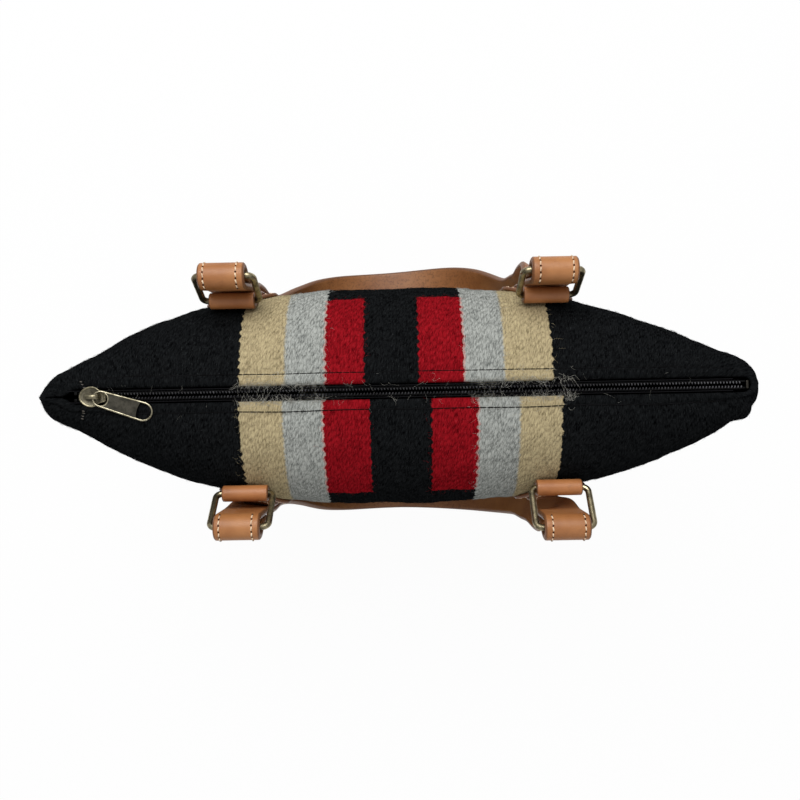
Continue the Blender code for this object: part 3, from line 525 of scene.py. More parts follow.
def wool_cloth():
    """Handwoven wool: small leaning grains in a brick pattern, with bands of colour and painted shade in the
    gaps between grains.
    """
    graph = Look("wool_cloth", (0.02, 0.02, 0.02), 0.95)
    times, minus, scaled = graph.times, graph.minus, graph.scaled
    along, drop, _ = graph.parts(graph.new("UVMap", uv_map="cloth").outputs[0])
    spot = graph.place(along, drop)
    sway_x, sway_y, _ = graph.parts(graph.noise(spot, 85.0, 1.0, output="Color"))
    fine_x, fine_y, _ = graph.parts(graph.noise(spot, 520.0, 1.0, output="Color"))
    u = scaled(fine_x, 0.0014, scaled(sway_x, 0.0040, along))
    v = scaled(fine_y, 0.0024, scaled(sway_y, 0.0075, drop))
    columns = graph.math("DIVIDE", u, GRAIN_WIDTH)
    column = graph.math("FLOOR", columns)
    odd = graph.math("PINGPONG", column, 1.0)
    jitter = graph.noise(graph.place(column, 7.3), 0.73, 0.0)
    rows = scaled(odd, 0.5, graph.math("DIVIDE", v, GRAIN_LENGTH))
    rows = scaled(jitter, 1.1, rows)
    row = graph.math("FLOOR", rows)
    lengthwise = minus(graph.math("FRACT", rows), 0.5)
    across = scaled(lengthwise, -0.38, minus(graph.math("FRACT", columns), 0.5))
    ridge = graph.math("POWER", graph.size(times(across, 1.7)), 2.0)
    ends = graph.math("POWER", graph.size(times(lengthwise, 1.9)), 2.0)
    height = times(minus(1.0, ridge, clamp=True), minus(1.0, ends, clamp=True))
    woven = graph.span(graph.size(drop), 0.0052, FOLD_END)
    height = times(height, scaled(woven, 0.85, 0.15))
    speck = graph.noise(graph.place(column, row), 1.7, 0.0)
    hairs = graph.noise(graph.place(times(along, 2.0), drop), 900.0, 3.0, 0.8)
    lint = graph.noise(graph.place(along, times(drop, 3.0)), 1300.0, 2.0, 0.7)
    clouds = graph.noise(spot, 130.0, 2.0, 0.6)
    leaning = scaled(drop, -STREAK_LEAN, along)
    streak = graph.noise(graph.place(leaning, times(drop, 0.17)), 1750.0, 2.0, 0.6)
    # painted shade: grain follows each grain's height, so the colour is lighter on its top and darker in the
    # gaps between grains
    grain = times(minus(height, 0.45), woven)
    tone = scaled(speck, 0.8, -2.65)
    for part, share in ((streak, 3.0), (hairs, 1.3), (clouds, 0.7), (lint, 0.9)):
        tone = scaled(part, share, tone)
    tone = scaled(grain, 0.30, tone, clamp=True)
    colour = band_colour(graph, along, drop, graph.math("LESS_THAN", drop, 0.0), tone)
    glint = graph.span(times(streak, lint), 0.35, 0.46)
    shiny = graph.mix(0.5, colour, (0.11, 0.115, 0.12))
    lift = graph.mix(times(glint, 0.55), colour, shiny)
    # painted shade in the gaps between grains, times the yarn's own streaks of tone
    gap_shade_and_streaks = scaled(streak, 0.40, scaled(grain, 0.18, 0.80))
    dim = graph.new("VectorMath", operation="SCALE")
    graph.feed(dim.inputs[0], lift)
    graph.feed(dim.inputs["Scale"], gap_shade_and_streaks)
    graph.set("Base Color", dim.outputs[0])
    graph.set("Specular IOR Level", 0.0)
    fuzz = scaled(hairs, 0.50, times(height, 0.52))
    fuzz = scaled(streak, 1.25, fuzz)
    graph.bump(scaled(clouds, 0.35, fuzz), 0.0005, 0.45)
    return graph.material


def yarn(name, light, dark, specular=0.15):
    """Thread or fibre in one colour that varies along it."""
    graph = Look(name, light)
    tone = graph.noise(graph.object_place(), 300.0)
    graph.set("Base Color", graph.mix(graph.span(tone, 0.3, 0.7), dark, light))
    graph.set("Specular IOR Level", specular)
    return graph.material


def leather(name, light, dark, edge):
    """Vegetable-tanned leather with a fine grain, cloudy tone, darker cut edges and painted shade towards
    the middle along X.
    """
    graph = Look(name, light, 0.42)
    place = graph.object_place()
    x, _, _ = graph.parts(place)
    pores = graph.noise(place, 2600.0, 2.0, 0.6)
    clouds = graph.noise(place, 38.0, 3.0, 0.55)
    scuffs = graph.span(graph.noise(place, 160.0, 4.0, 0.7), 0.56, 0.74)
    flecks = graph.span(graph.noise(place, 560.0, 4.0, 0.75), 0.49, 0.62)
    # painted shade: darker towards the middle along X, where the handles run low along the bag under its
    # crown; the rough side's flecks go there too
    shaded_band = graph.span(graph.size(x), 0.086, 0.050)
    inner = graph.minus(1.0, graph.attribute("outer"))
    rough_side = graph.times(graph.math("MAXIMUM", inner, shaded_band), flecks)
    colour = graph.mix(graph.span(clouds, 0.30, 0.72), dark, light)
    darkened = ((scuffs, 0.22), (shaded_band, 0.24), (rough_side, 0.52), (inner, 0.16),
                (graph.attribute("rim"), 0.75))
    for part, share in darkened:
        colour = graph.mix(graph.times(part, share), colour, edge)
    graph.set("Base Color", colour)
    graph.set("Roughness", graph.span(pores, 0.3, 0.7, 0.36, 0.56))
    graph.set("Specular IOR Level", 0.45)
    grain = graph.new("TexVoronoi", {"Vector": place, "Scale": 1500.0}).outputs["Distance"]
    graph.bump(graph.scaled(grain, 0.6, graph.times(pores, 0.4)), 0.00012, 0.55)
    return graph.material


def brass(name, bright, dark, roughness=0.34):
    """Antique brass: patchy, from dark and dull to bright and smooth."""
    graph = Look(name, bright, roughness, metallic=1.0)
    place = graph.object_place()
    patches = graph.noise(place, 240.0, 3.0, 0.6)
    fine = graph.noise(place, 1400.0, 2.0, 0.6)
    tone = graph.span(graph.scaled(fine, 0.35, patches), 0.42, 0.86)
    graph.set("Base Color", graph.mix(tone, dark, bright))
    graph.set("Roughness", graph.span(patches, 0.3, 0.7, roughness + 0.10, roughness - 0.06))
    graph.bump(fine, 0.00008, 0.4)
    return graph.material


def woven_tape():
    """The zip's black tape, with its fine twill."""
    graph = Look("zip_tape", (0.012, 0.012, 0.013), 0.85)
    x, y, _ = graph.parts(graph.object_place())
    twill = graph.math("SINE", graph.times(graph.plus(x, y), 2 * math.pi / TWILL_PITCH))
    level = graph.scaled(twill, 0.5, 0.5)
    graph.set("Base Color", graph.mix(level, (0.002, 0.002, 0.003), (0.007, 0.007, 0.008)))
    graph.set("Specular IOR Level", 0.12)
    graph.bump(level, 0.00015, 0.6)
    return graph.material


def coil_nylon(name, light, dark, roughness, specular):
    """Black nylon, uneven in tone, with a painted shine that comes and goes along X, and rubbed paler
    towards the open end.
    """
    graph = Look(name, light, roughness)
    place = graph.object_place()
    x, _, _ = graph.parts(place)
    tone = graph.noise(place, 90.0, 3.0, 0.7)
    # painted shine: slow changes along X darken or lighten the colour, standing in for highlights that come
    # and go along the row
    painted_shine = graph.noise(graph.place(x, 0.4), 26.0, 1.0)
    colour = graph.mix(graph.span(tone, 0.42, 0.68), dark, light)
    colour = graph.mix(graph.span(painted_shine, 0.36, 0.60), dark, colour)
    rubbed = tuple(1.2 * part for part in light)
    graph.set("Base Color", graph.mix(graph.span(x, *RUBBED_COIL, 0.0, 0.6), colour, rubbed))
    graph.set("Specular IOR Level", specular)
    return graph.material


# Mesh makers

def link_new(name, data):
    made = bpy.data.objects.new(name, data)
    bpy.context.scene.collection.objects.link(made)
    return made


def add_object(name, mesh, looks, body, smooth):
    for look in looks:
        mesh.materials.append(look)
    piece = link_new(name, mesh)
    mesh.shade_smooth()
    if smooth is not None:
        mesh.set_sharp_from_angle(angle=math.radians(smooth))
    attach(piece, body)
    return piece


def finish_mesh(work, name):
    bmesh.ops.recalc_face_normals(work, faces=work.faces)
    mesh = bpy.data.meshes.new(name)
    work.to_mesh(mesh)
    work.free()
    return mesh


def add_work(name, work, look, body, smooth=50.0):
    return add_object(name, finish_mesh(work, name), [look], body, smooth)


def join_rings(work, rings, closed=False):
    """Skins a row of closed rings of points, and gives the faces back in order."""
    faces = []
    for first, second in zip(rings, rings[1:] + (rings[:1] if closed else [])):
        for i in range(len(first)):
            j = (i + 1) % len(first)
            faces.append(work.faces.new((first[i], second[i], second[j], first[j])))
    return faces


def sweep(work, stations, section, closed=False):
    """Sweeps a closed section through stations of (point, width direction, normal, scales)."""
    rings = []
    for point, width, normal, (scale_w, scale_n) in stations:
        rings.append([work.verts.new(point + width * (a * scale_w) + normal * (b * scale_n))
                      for a, b in section])
    join_rings(work, rings, closed)
    if not closed:
        work.faces.new(list(reversed(rings[0])))
        work.faces.new(rings[-1])


def wire(work, points, radius, sides, closed=False, up=UP):
    """A round wire along a path."""
    sweep(work, path_stations(points, closed, up), oval(radius, radius, sides), closed)


def path_stations(points, closed, up):
    """Stations with steady frames along a path, for wires and threads."""
    stations = []
    count = len(points)
    for i, point in enumerate(points):
        before = points[(i - 1) % count] if closed else points[max(i - 1, 0)]
        after = points[(i + 1) % count] if closed else points[min(i + 1, count - 1)]
        along = (after - before).normalized()
        width = along.cross(up)
        if width.length < 0.001:
            width = along.cross(ALONG)
        width.normalize()
        stations.append((point, width, width.cross(along).normalized(), (1.0, 1.0)))
    return stations


def lengths_along(path):
    """The distance from a path's start to each of its places, which begin with x, y and z."""
    lengths = [0.0]
    for before, after in zip(path, path[1:]):
        lengths.append(lengths[-1] + (Vector(after[:3]) - Vector(before[:3])).length)
    return lengths


def resampled(path, shares):
    """Places at shares of a path's length."""
    lengths = lengths_along(path)
    places = []
    k = 0
    for share in shares:
        target = lengths[-1] * share
        while k < len(path) - 2 and lengths[k + 1] < target:
            k += 1
        part = (target - lengths[k]) / (lengths[k + 1] - lengths[k])
        places.append([mix(a, b, part) for a, b in zip(path[k], path[k + 1])])
    return places


# The cloth shell

def swell(x, side):
    """How much fuller than the lens an end is, which fades out over the last of its tip."""
    end = 0 if x < 0 else 1
    away = abs(x)
    amount = mix(SHOULDER_SWELL[side][end], TIP_SWELL[side][end],
                 ease((away - SHOULDER_X) / (TIP_X - SHOULDER_X)))
    closing = max(away - TIP_CLOSE_X, 0.0) / (MOUTH_HALF_LENGTH - TIP_CLOSE_X)
    fade = math.sqrt(max(1 - closing**2, 0.0))
    return amount * ease((away - SWELL_START) / SWELL_RISE) * fade


def crown_depth(x, side):
    """How far the bag's widest line lies from its middle plane: a lens with blunt tips."""
    reach = min(abs(x) / MOUTH_HALF_LENGTH, 1.0)
    inset = MOUTH_HALF_LENGTH * (1 - reach)
    lens = HALF_DEPTH[side] * (1 - reach**LENS_POWER) ** LENS_FULLNESS
    blunt = math.sqrt(2 * TIP_RADIUS * inset) * math.exp(-((inset / TIP_REACH) ** 2))
    return lens + blunt + swell(x, side)


def crown_foot(x):
    """Height of the widest line, which climbs towards the tips."""
    reach = min(abs(x) / MOUTH_HALF_LENGTH, 1.0)
    return MOUTH_HEIGHT - mix(CROWN_DROP, TIP_DROP, reach**LENS_POWER)


def hem_depth(x):
    """Half the slit mouth's gap, which shuts beyond the closed slider."""
    inset = SLIT_HALF_LENGTH - abs(x)
    gap = mix(HEM_HALF_GAP, LEFT_CLOSE_GAP, ease((LEFT_CLOSE_X - x) / LEFT_CLOSE_LENGTH))
    if inset >= HEM_HALF_GAP:
        return gap
    return gap * math.sqrt(max(1 - (1 - inset / HEM_HALF_GAP) ** 2, 0.0))


def base_depth(x, inset):
    """The boxed base: a rectangle with soft corners, drawn in by the inset."""
    reach = min(abs(x) / (BASE_HALF_LENGTH - inset), 1.0)
    full = (1 - reach**BASE_SQUARENESS) ** (1 / BASE_SQUARENESS)
    return (BASE_HALF_DEPTH - inset) * full


def end_points(depth, half_length):
    """Points from the field's edge round to a tip, closer together near the tip."""
    span = half_length - FIELD_HALF_LENGTH
    path = []
    for part in series(0, 1, END_SAMPLES):
        x = half_length - span * (1 - part) ** 2
        path.append((x, depth(x), 0.0))
    return resampled(path, [1 - (1 - part) ** END_CROWDING for part in series(0, 1, END_STEPS)[1:]])


def half_outline(side, depth, half_length):
    """One side of a level outline, from the left tip to the right tip."""
    columns = series(-FIELD_HALF_LENGTH, FIELD_HALF_LENGTH, FIELD_STEPS)
    field = [(x, depth(x, side), 0.0) for x in columns]
    right = end_points(lambda x: depth(x, side), half_length)
    turned = end_points(lambda x: depth(-x, side), half_length)
    left = [(-x, y, 0.0) for x, y, _ in reversed(turned)]
    return [Vector((x, SIDE_SIGN[side] * y, 0.0)) for x, y, _ in left + field + right]


def ring_outline(depth, half_length):
    """A closed outline: the back from left to right, then the front from right to left."""
    back, front = (half_outline(side, depth, half_length) for side in SIDE_SIGN)
    return back + list(reversed(front))[1:-1]


def rolled(hem, wide, turn):
    """A point on the hem's inner roll."""
    outward = wide - hem
    roll = min(HEM_ROLL, outward.length * ROLL_SHARE)
    point = hem + outward.normalized() * (roll * (1 - math.cos(turn)))
    point.z = HEM_HEIGHT - roll * (1 - math.sin(turn))
    return point


def crowned(hem, wide, part):
    """A point on the crown, from the hem's roll to the widest line."""
    start = math.asin(min(HEM_ROLL / (wide - hem).length, ROLL_SHARE))
    turn = mix(start, math.pi / 2, part)
    point = hem.lerp(wide, math.sin(turn))
    point.z = mix(crown_foot(wide.x), HEM_HEIGHT, math.cos(turn))
    return point


def flared(wide, low, part):
    """A point on the sides, from the widest line to the edge of the base."""
    x = mix(wide.x, low.x, mix(part, ease(part), SEAM_CURVE))
    y = mix(wide.y, low.y, ease(part))
    return Vector((x, y, mix(crown_foot(wide.x), BASE_EDGE_RADIUS, part)))


def turned_under(full, flat, turn):
    """A point on the round edge of the base."""
    point = full.lerp(flat, 1 - math.cos(turn))
    point.z = BASE_EDGE_RADIUS * (1 - math.sin(turn))
    return point


def shell_rows():
    """Closed rows of points from the hem's inner roll down to the flat of the base."""
    hem = ring_outline(lambda x, side: hem_depth(x), SLIT_HALF_LENGTH)
    crown = ring_outline(crown_depth, MOUTH_HALF_LENGTH)
    full = ring_outline(lambda x, side: base_depth(x, 0.0), BASE_HALF_LENGTH)
    flat = ring_outline(lambda x, side: base_depth(x, BASE_EDGE_RADIUS), BASE_HALF_LENGTH - BASE_EDGE_RADIUS)
    zones = ((rolled, hem, crown, series(0, math.pi / 2, ROLL_STEPS)[:-1]),
             (crowned, hem, crown, series(0, 1, CROWN_STEPS)),
             (flared, crown, full, series(0, 1, SIDE_STEPS)[1:]),
             (turned_under, full, flat, series(0, math.pi / 2, EDGE_STEPS)[1:]))
    rows = []
    for make, upper, lower, parts in zones:
        for part in parts:
            rows.append([make(a, b, part) for a, b in zip(upper, lower)])
    rim = rows[-1]
    for share in series(1, 0, BASE_STEPS)[1:-1]:
        rows.append([Vector((p.x, p.y * share, 0.0)) for p in rim])
    return rows, crown


def stitch_place(x, side):
    """Distance of the stitch line from the hem's edge, a little wavy."""
    wave = noise.noise(Vector((x * 22.0, SIDE_SIGN[side] * 7.0, 0.0)))
    return STITCH_LINE[side] + STITCH_WAVE * 2 * wave


def corner_fold(point, side, x):
    """The small lobe and notch where the front's right corner is folded in."""
    if side == "back" or x < 0:
        return 0.0
    rise = sum(height * bump_at(x, place, width) for place, height, width in CORNER_FOLD)
    rise *= ease((abs(point.y) - CORNER_FOLD_HEM) / CORNER_FOLD_RISE)
    return rise * ease((point.z - CORNER_FOLD_FOOT) / CORNER_FOLD_FADE)


def relief(point, side, down, x):
    """How far the cloth stands proud of its plain form."""
    slack = ease((down - 0.0030) / 0.010)
    soft = noise.noise(point * UNEVEN_SCALE) * UNEVEN * 2
    fine = noise.noise(point * LUMPY_SCALE) * LUMPY * 2
    puff = FOLD_PUFF * bump_at(down, FOLD_PUFF_AT, FOLD_PUFF_WIDTH)
    groove = STITCH_GROOVE * bump_at(down, stitch_place(x, side) + HEM_ROLL, STITCH_GROOVE_WIDTH)
    return slack * (soft + fine) + puff - groove + corner_fold(point, side, x)


class Cloth:
    """The outer face as a grid, kept so that stitches and fibres can be placed on it."""

    def __init__(self):
        rows, crown_row = shell_rows()
        self.count = len(rows[0])
        self.half = (self.count + 2) // 2
        self.along = [point.x for point in crown_row]
        self.spread = self.spread_out(crown_row)
        self.down = [[0.0] * self.count]
        for before, after in zip(rows, rows[1:]):
            self.down.append([d + (b - a).length for d, a, b in zip(self.down[-1], before, after)])
        work = bmesh.new()
        grid = [[work.verts.new(point) for point in row] for row in rows]
        layer = work.loops.layers.uv.new("cloth")
        last = len(grid) - 1
        for r in range(last):
            for i in range(self.count):
                j = (i + 1) % self.count
                self.add_face(work, grid, layer, [(r, i), (r + 1, i), (r + 1, j), (r, j)], i)
        for i in range(self.half - 1):
            columns = (i, i + 1, (self.count - i - 1) % self.count, (self.count - i) % self.count)
            self.add_face(work, grid, layer, [(last, c) for c in dict.fromkeys(columns)], i)
        bmesh.ops.recalc_face_normals(work, faces=work.faces)
        work.normal_update()
        for row, downs in zip(grid, self.down):
            for i, vertex in enumerate(row):
                side = "back" if i < self.half else "front"
                rise = relief(vertex.co, side, downs[i], self.along[i])
                if vertex.co.z < BASE_EDGE_RADIUS:
                    rise = min(rise, 0.0) * ease(vertex.co.z / BASE_EDGE_RADIUS)
                vertex.co += vertex.normal * rise
        work.normal_update()
        self.points = [[vertex.co.copy() for vertex in row] for row in grid]
        self.normals = [[vertex.normal.copy() for vertex in row] for row in grid]
        self.mesh = bpy.data.meshes.new("wool_shell")
        work.to_mesh(self.mesh)
        work.free()

    def add_face(self, work, grid, layer, corners, i):
        """A face over some corners (row, column), mapped by its place along and down the cloth."""
        face = work.faces.new([grid[r][c] for r, c in corners])
        sign = 1.0 if i < self.half - 1 else -1.0
        for loop, (r, c) in zip(face.loops, corners):
            loop[layer].uv = (self.spread[c], sign * max(self.down[r][c], 0.0001))

    def spread_out(self, row):
        """Where each column lies along the cloth, so that the weave isn't squeezed at the tips."""
        spread = list(self.along)
        for columns in (range(self.half), range(self.half - 1, self.count)):
            field = [i for i in columns if abs(self.along[i]) < FIELD_HALF_LENGTH + 0.0001]
            for start, step in ((field[0], -1), (field[-1], 1)):
                i = start + step
                while i in columns:
                    length = (row[i] - row[i - step]).length
                    spread[i] = spread[i - step] + math.copysign(length, row[i].x)
                    i += step
        return spread

    def row_at(self, i, down):
        """The last row above a distance from the hem's inner edge, in one column."""
        return max(r for r in range(len(self.down) - 1) if r == 0 or self.down[r][i] <= down)

    def spot(self, x, down, side):
        """Point and normal of the outer face at an X and a distance from the hem's inner edge."""
        columns = range(0, self.half) if side == "back" else range(self.half - 1, self.count)
        i = min(columns, key=lambda c: abs(self.along[c] - x))
        step = -1 if (self.along[i] > x) == (side == "back") else 1
        j = min(max(i + step, 0), self.count - 1)
        found = []
        for c in (i, j):
            r = self.row_at(c, down)
            upper, lower = self.down[r][c], self.down[r + 1][c]
            part = (down - upper) / max(lower - upper, 1e-6)
            found.append([grid[r][c].lerp(grid[r + 1][c], part) for grid in (self.points, self.normals)])
        gap = self.along[j] - self.along[i]
        part = (x - self.along[i]) / gap if abs(gap) > 1e-6 else 0.0
        part = min(max(part, 0.0), 1.0)
        point, normal = (near.lerp(far, part) for near, far in zip(*found))
        return point, normal.normalized()


def make_cloth(cloth_look):
    cloth = Cloth()
    shell = add_object("wool_shell", cloth.mesh, [cloth_look], "bag", None)
    solid = shell.modifiers.new("thickness", "SOLIDIFY")
    solid.thickness = CLOTH_THICKNESS
    solid.offset = -1.0
    solid.use_even_offset = False
    solid.thickness_clamp = 1.2
    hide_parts("woven_body")
    return cloth


# The shapes that follow the cloth, as in the CAD source

def cloth_depth(x, z, side):
    """Distance of the cloth's outer face from the middle plane, over the middle of the bag."""
    wide = crown_depth(x, side)
    foot = crown_foot(x)
    if z >= foot:
        rise = min((z - foot) / (HEM_HEIGHT - foot), 1.0)
        return mix(HEM_HALF_GAP, wide, math.sqrt(1 - rise * rise))
    fall = (foot - z) / (foot - BASE_EDGE_RADIUS)
    return mix(wide, base_depth(x, 0.0), ease(fall))


def slope(depth, z):
    """How fast a depth changes with the height."""
    return (depth(z + SLOPE_STEP) - depth(z - SLOPE_STEP)) / (2 * SLOPE_STEP)


def off_cloth(x, z, side, distance):
    """A point that stands off the cloth by a distance, square to it."""
    lean = slope(lambda height: cloth_depth(x, height, side), z)
    length = math.hypot(1.0, lean)
    depth = cloth_depth(x, z, side) + distance / length
    return Vector((x, SIDE_SIGN[side] * depth, z - distance * lean / length))


def slab(rows, thickness, outward):
    """A strip over rows of points, with rounded cut edges and flat ends.

    The rim layer is 1 on the cut edges and outer is 1 on the face that looks outward at
    the first row.
    """
    work = bmesh.new()
    rim = work.verts.layers.float.new("rim")
    outer = work.verts.layers.float.new("outer")
    half = thickness / 2
    inset = half * RIM_ROUND
    turns = arc((0, 0), (1, 1), (RIM_TURN, -RIM_TURN), RIM_STEPS)
    last = len(rows[0]) - 1
    middle = len(rows[0]) // 2
    sign = 0.0
    rings = []
    for r, row in enumerate(rows):
        before = rows[max(r - 1, 0)]
        after = rows[min(r + 1, len(rows) - 1)]
        normals = []
        for k in range(last + 1):
            side = row[min(k + 1, last)] - row[max(k - 1, 0)]
            normals.append((after[k] - before[k]).cross(side).normalized())
        if sign == 0.0:
            sign = 1.0 if normals[middle].dot(outward) > 0 else -1.0
        normals = [normal * sign for normal in normals]
        left = (row[0] - row[1]).normalized()
        right = (row[-1] - row[-2]).normalized()
        drawn = [row[0] - left * inset, *row[1:-1], row[-1] - right * inset]
        faces = list(zip(drawn, normals))
        edges = []
        for base, way, normal in ((drawn[-1], right, normals[-1]), (drawn[0], left, normals[0])):
            edges.append([(base + way * (inset * c) + normal * (half * s), 1.0, 0.5 + s / 2)
                          for c, s in turns])
        ring = [(point + normal * half, 0.0, 1.0) for point, normal in faces] + edges[0]
        ring += [(point - normal * half, 0.0, 0.0) for point, normal in reversed(faces)]
        ring += reversed(edges[1])
        made = []
        for place, edge, face in ring:
            vertex = work.verts.new(place)
            vertex[rim] = edge
            vertex[outer] = face
            made.append(vertex)
        rings.append(made)
    join_rings(work, rings)
    for ring in (rings[0], rings[-1]):
        work.faces.new(ring)
        for vertex in ring:
            vertex[rim] = 1.0
    return work


# The tabs and rings

def patch_half_width(z):
    """The patch is widest at its shoulder and rounds off to its foot."""
    low = ease((z - PATCH_FOOT) / PATCH_FOOT_ROUND)
    high = 1 - ease((z - PATCH_SHOULDER + PATCH_SHOULDER_RISE) / PATCH_SHOULDER_ROUND)
    return mix(TAB_WIDTH / 2, PATCH_WIDTH / 2, min(low, high))


def tab_x(side, end):
    return of_end(RING_X[side], end) - END_SIGN[end] * RING_SHIFT


def tab_rows(side, end):
    """The tab's middle layer: up the cloth, round the ring and down over itself."""
    centre = tab_x(side, end)
    under = TAB_SEAT + TAB_LEATHER / 2
    over = under + TAB_LEATHER + CLEARANCE
    axis = (abs(TAB_AXIS[side].y), TAB_AXIS[side].z)
    middle = TAB_EYE_RADIUS + TAB_LEATHER / 2
    parts = series(-1.0, 1.0, TAB_ACROSS)

    def on_cloth(z, half, distance):
        return [off_cloth(centre + part * half, z, side, distance) for part in parts]

    top = axis[1] - TAB_WRAP_START_DROP
    rows = [on_cloth(z, patch_half_width(z), under) for z in series(PATCH_FOOT, top, CLIMB_STEPS)]
    for depth, height in arc(axis, (middle, middle), TAB_WRAP, WRAP_STEPS):
        rows.append([Vector((centre + part * TAB_WIDTH / 2, SIDE_SIGN[side] * depth, height))
                     for part in parts])
    top = axis[1] - TAB_WRAP_END_DROP
    return rows + [on_cloth(z, TAB_WIDTH / 2, over) for z in series(top, TONGUE_FOOT, TONGUE_STEPS)]


def make_tab(side, end, look):
    work = slab(tab_rows(side, end), TAB_LEATHER, ACROSS * -SIDE_SIGN[side])
    tab = add_work(f"tab_{side}_{end}", work, look, "bag")
    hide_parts(f"ring_tab_{side}_{end}")


def ring_points():
    """A rounded rectangle that starts on the inner bar and reaches along +Y."""
    half = RING_WIDTH / 2
    corners = ((half, 0, -90), (half, RING_DEPTH, 0), (-half, RING_DEPTH, 90), (-half, 0, 180))
    points = []
    for x, y, start in corners:
        centre = (x - math.copysign(RING_CORNER, x), y + (RING_CORNER if y == 0 else -RING_CORNER))
        points += arc(centre, (RING_CORNER, RING_CORNER), (start, start + 90), RING_CORNER_STEPS)
    return [Vector((x, y, 0.0)) for x, y in points]


def make_ring(side, end, look):
    name = f"wire_ring_{side}_{end}"
    points = ring_points()
    spread = []
    for point, after in zip(points, points[1:] + points[:1]):
        parts = max(1, round((after - point).length / RING_STEP))
        spread += [point.lerp(after, k / parts) for k in range(parts)]
    work = bmesh.new()
    wire(work, spread, RING_WIRE_RADIUS, WIRE_SIDES, closed=True)
    mesh = finish_mesh(work, name)
    for vertex in mesh.vertices:
        shift = noise.noise(vertex.co * RING_WEAR_SCALE + Vector((len(name) * 3.1, 0, 0)))
        vertex.co += vertex.co.normalized() * (shift * RING_WEAR)
    elevation = of_end(RING_ELEVATION[side], end)
    turn = elevation if side == "back" else 180.0 - elevation
    place = Matrix.Translation((of_end(RING_X[side], end), TAB_AXIS[side].y, TAB_AXIS[side].z))
    mesh.transform(place @ Matrix.Rotation(math.radians(turn), 4, "X"))
    ring = add_object(name, mesh, [look], f"{side}_{end}_ring", 60.0)
    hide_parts(f"ring_{side}_{end}")


# The handles

def strap_ends(side):
    """X of the middle of the strap at its two rings."""
    left, right = RING_X[side]
    return left - STRAP_SHIFT, right + STRAP_SHIFT


def outer_axis(side, end):
    """Depth and height of a ring's outer bar, which the handle turns on."""
    angle = math.radians(of_end(RING_ELEVATION[side], end))
    depth = abs(TAB_AXIS[side].y) + RING_DEPTH * math.cos(angle)
    return depth, TAB_AXIS[side].z + RING_DEPTH * math.sin(angle)


def eye_height(side, end):
    """Height of the strap eye's centre: the eye hangs on the ring's outer bar."""
    return outer_axis(side, end)[1] - EYE_HANG[side]


def leg_twist(side, end, z):
    """How far a leg has turned its inner edge away from the bag, in radians."""
    tail_foot = eye_height(side, end) - STRAP_TAIL
    return math.radians(of_end(LEG_TWIST[side], end)) * ease((tail_foot - z) / TWIST_LENGTH)


def clear_depth(side, end, x, z, turn, twist):
    """Depth the strap's middle needs at a place, so that all its width clears the cloth."""
    tongue = ease((z - TONGUE_FOOT) / LAYER_CLEAR + 1)
    patch = ease((z - PATCH_FOOT) / LAYER_CLEAR + 1)
    stack = patch * (TAB_SEAT + TAB_LEATHER) + tongue * (TAB_LEATHER + CLEARANCE)
    need = 0.0
    for part in (-1.0, -0.5, 0.0, 0.5, 1.0):
        edge = STRAP_WIDTH / 2 * part
        inboard = edge * math.cos(twist)
        across = x - END_SIGN[end] * inboard * math.cos(turn)
        depth = cloth_depth(across, z + inboard * math.sin(turn), side)
        need = max(need, depth + stack - edge * math.sin(twist))
    if z > TAB_AXIS[side].z - TAB_WRAP_END_DROP:
        need = max(need, abs(TAB_AXIS[side].y) + TAB_LOOP)
    return need + STRAP_THICKNESS / 2 + STRAP_CLEAR


def leg_depth(side, end, z):
    """Depth of a hanging leg's middle layer: straight down, but clear of the tab."""
    axis_depth, axis_height = outer_axis(side, end)
    hanging = axis_depth - STRAP_EYE_RADIUS - STRAP_THICKNESS / 2
    strap_x = of_end(strap_ends(side), end)
    clear = clear_depth(side, end, strap_x, z, 0.0, leg_twist(side, end, z))
    fall = ease((axis_height - LEG_HANG - z) / LEG_LEAN)
    return mix(hanging, max(clear, hanging), fall)


def strap_run(side, end):
    """Places along one handle, from the tail at one end to the handle's middle."""
    axis_depth = outer_axis(side, end)[0]
    eye = STRAP_EYE_RADIUS + STRAP_THICKNESS / 2
    eye_z = eye_height(side, end)
    bend_z = MOUTH_HEIGHT - of_end(BEND_DROP[side], end)
    ends = strap_ends(side)
    start = of_end(ends, end)
    centre = sum(ends) / 2
    ply = STRAP_THICKNESS + 2 * CLEARANCE
    looped = []
    for z in series(eye_z - STRAP_TAIL, eye_z - EYE_NECK, TAIL_STEPS):
        opened = ease((z - eye_z) / EYE_OPENING + 1)
        lean = slope(lambda height: leg_depth(side, end, height), z)
        tail = leg_depth(side, end, z) + ply * math.hypot(1.0, lean)
        looped.append((start, mix(tail, axis_depth + eye, opened), z, 0.0))
    for depth, z in arc((axis_depth, eye_z), (eye, eye), (EYE_START, 180 - EYE_START), EYE_STEPS):
        looped.append((start, depth, z, 0.0))
    run = []
    for z in series(eye_z - EYE_NECK, bend_z, LEG_STEPS):
        run.append((start, leg_depth(side, end, z), z, leg_twist(side, end, z)))
    start_twist = leg_twist(side, end, bend_z)
    for step in range(1, BEND_STEPS + 1):
        turn = math.pi / 2 * step / BEND_STEPS
        reach = math.cos(turn) ** (2 / BEND_SQUARENESS) if step < BEND_STEPS else 0.0
        z = mix(bend_z, LOW_HEIGHT, math.sin(turn) ** (2 / BEND_SQUARENESS))
        low = HALF_DEPTH[side] + LOW_STANDOFF[side] + END_SIGN[end] * LOW_SLANT[side] * reach
        swung = ease(math.sin(turn) ** BEND_DEPTH_POWER)
        twist = mix(start_twist, math.pi / 2, ease(turn / math.radians(BEND_TWIST_END)))
        x = mix(centre, start, reach)
        depth = mix(leg_depth(side, end, z), low, swung)
        run.append((x, max(depth, clear_depth(side, end, x, z, turn, twist)), z, twist))
    return looped + evened(run)


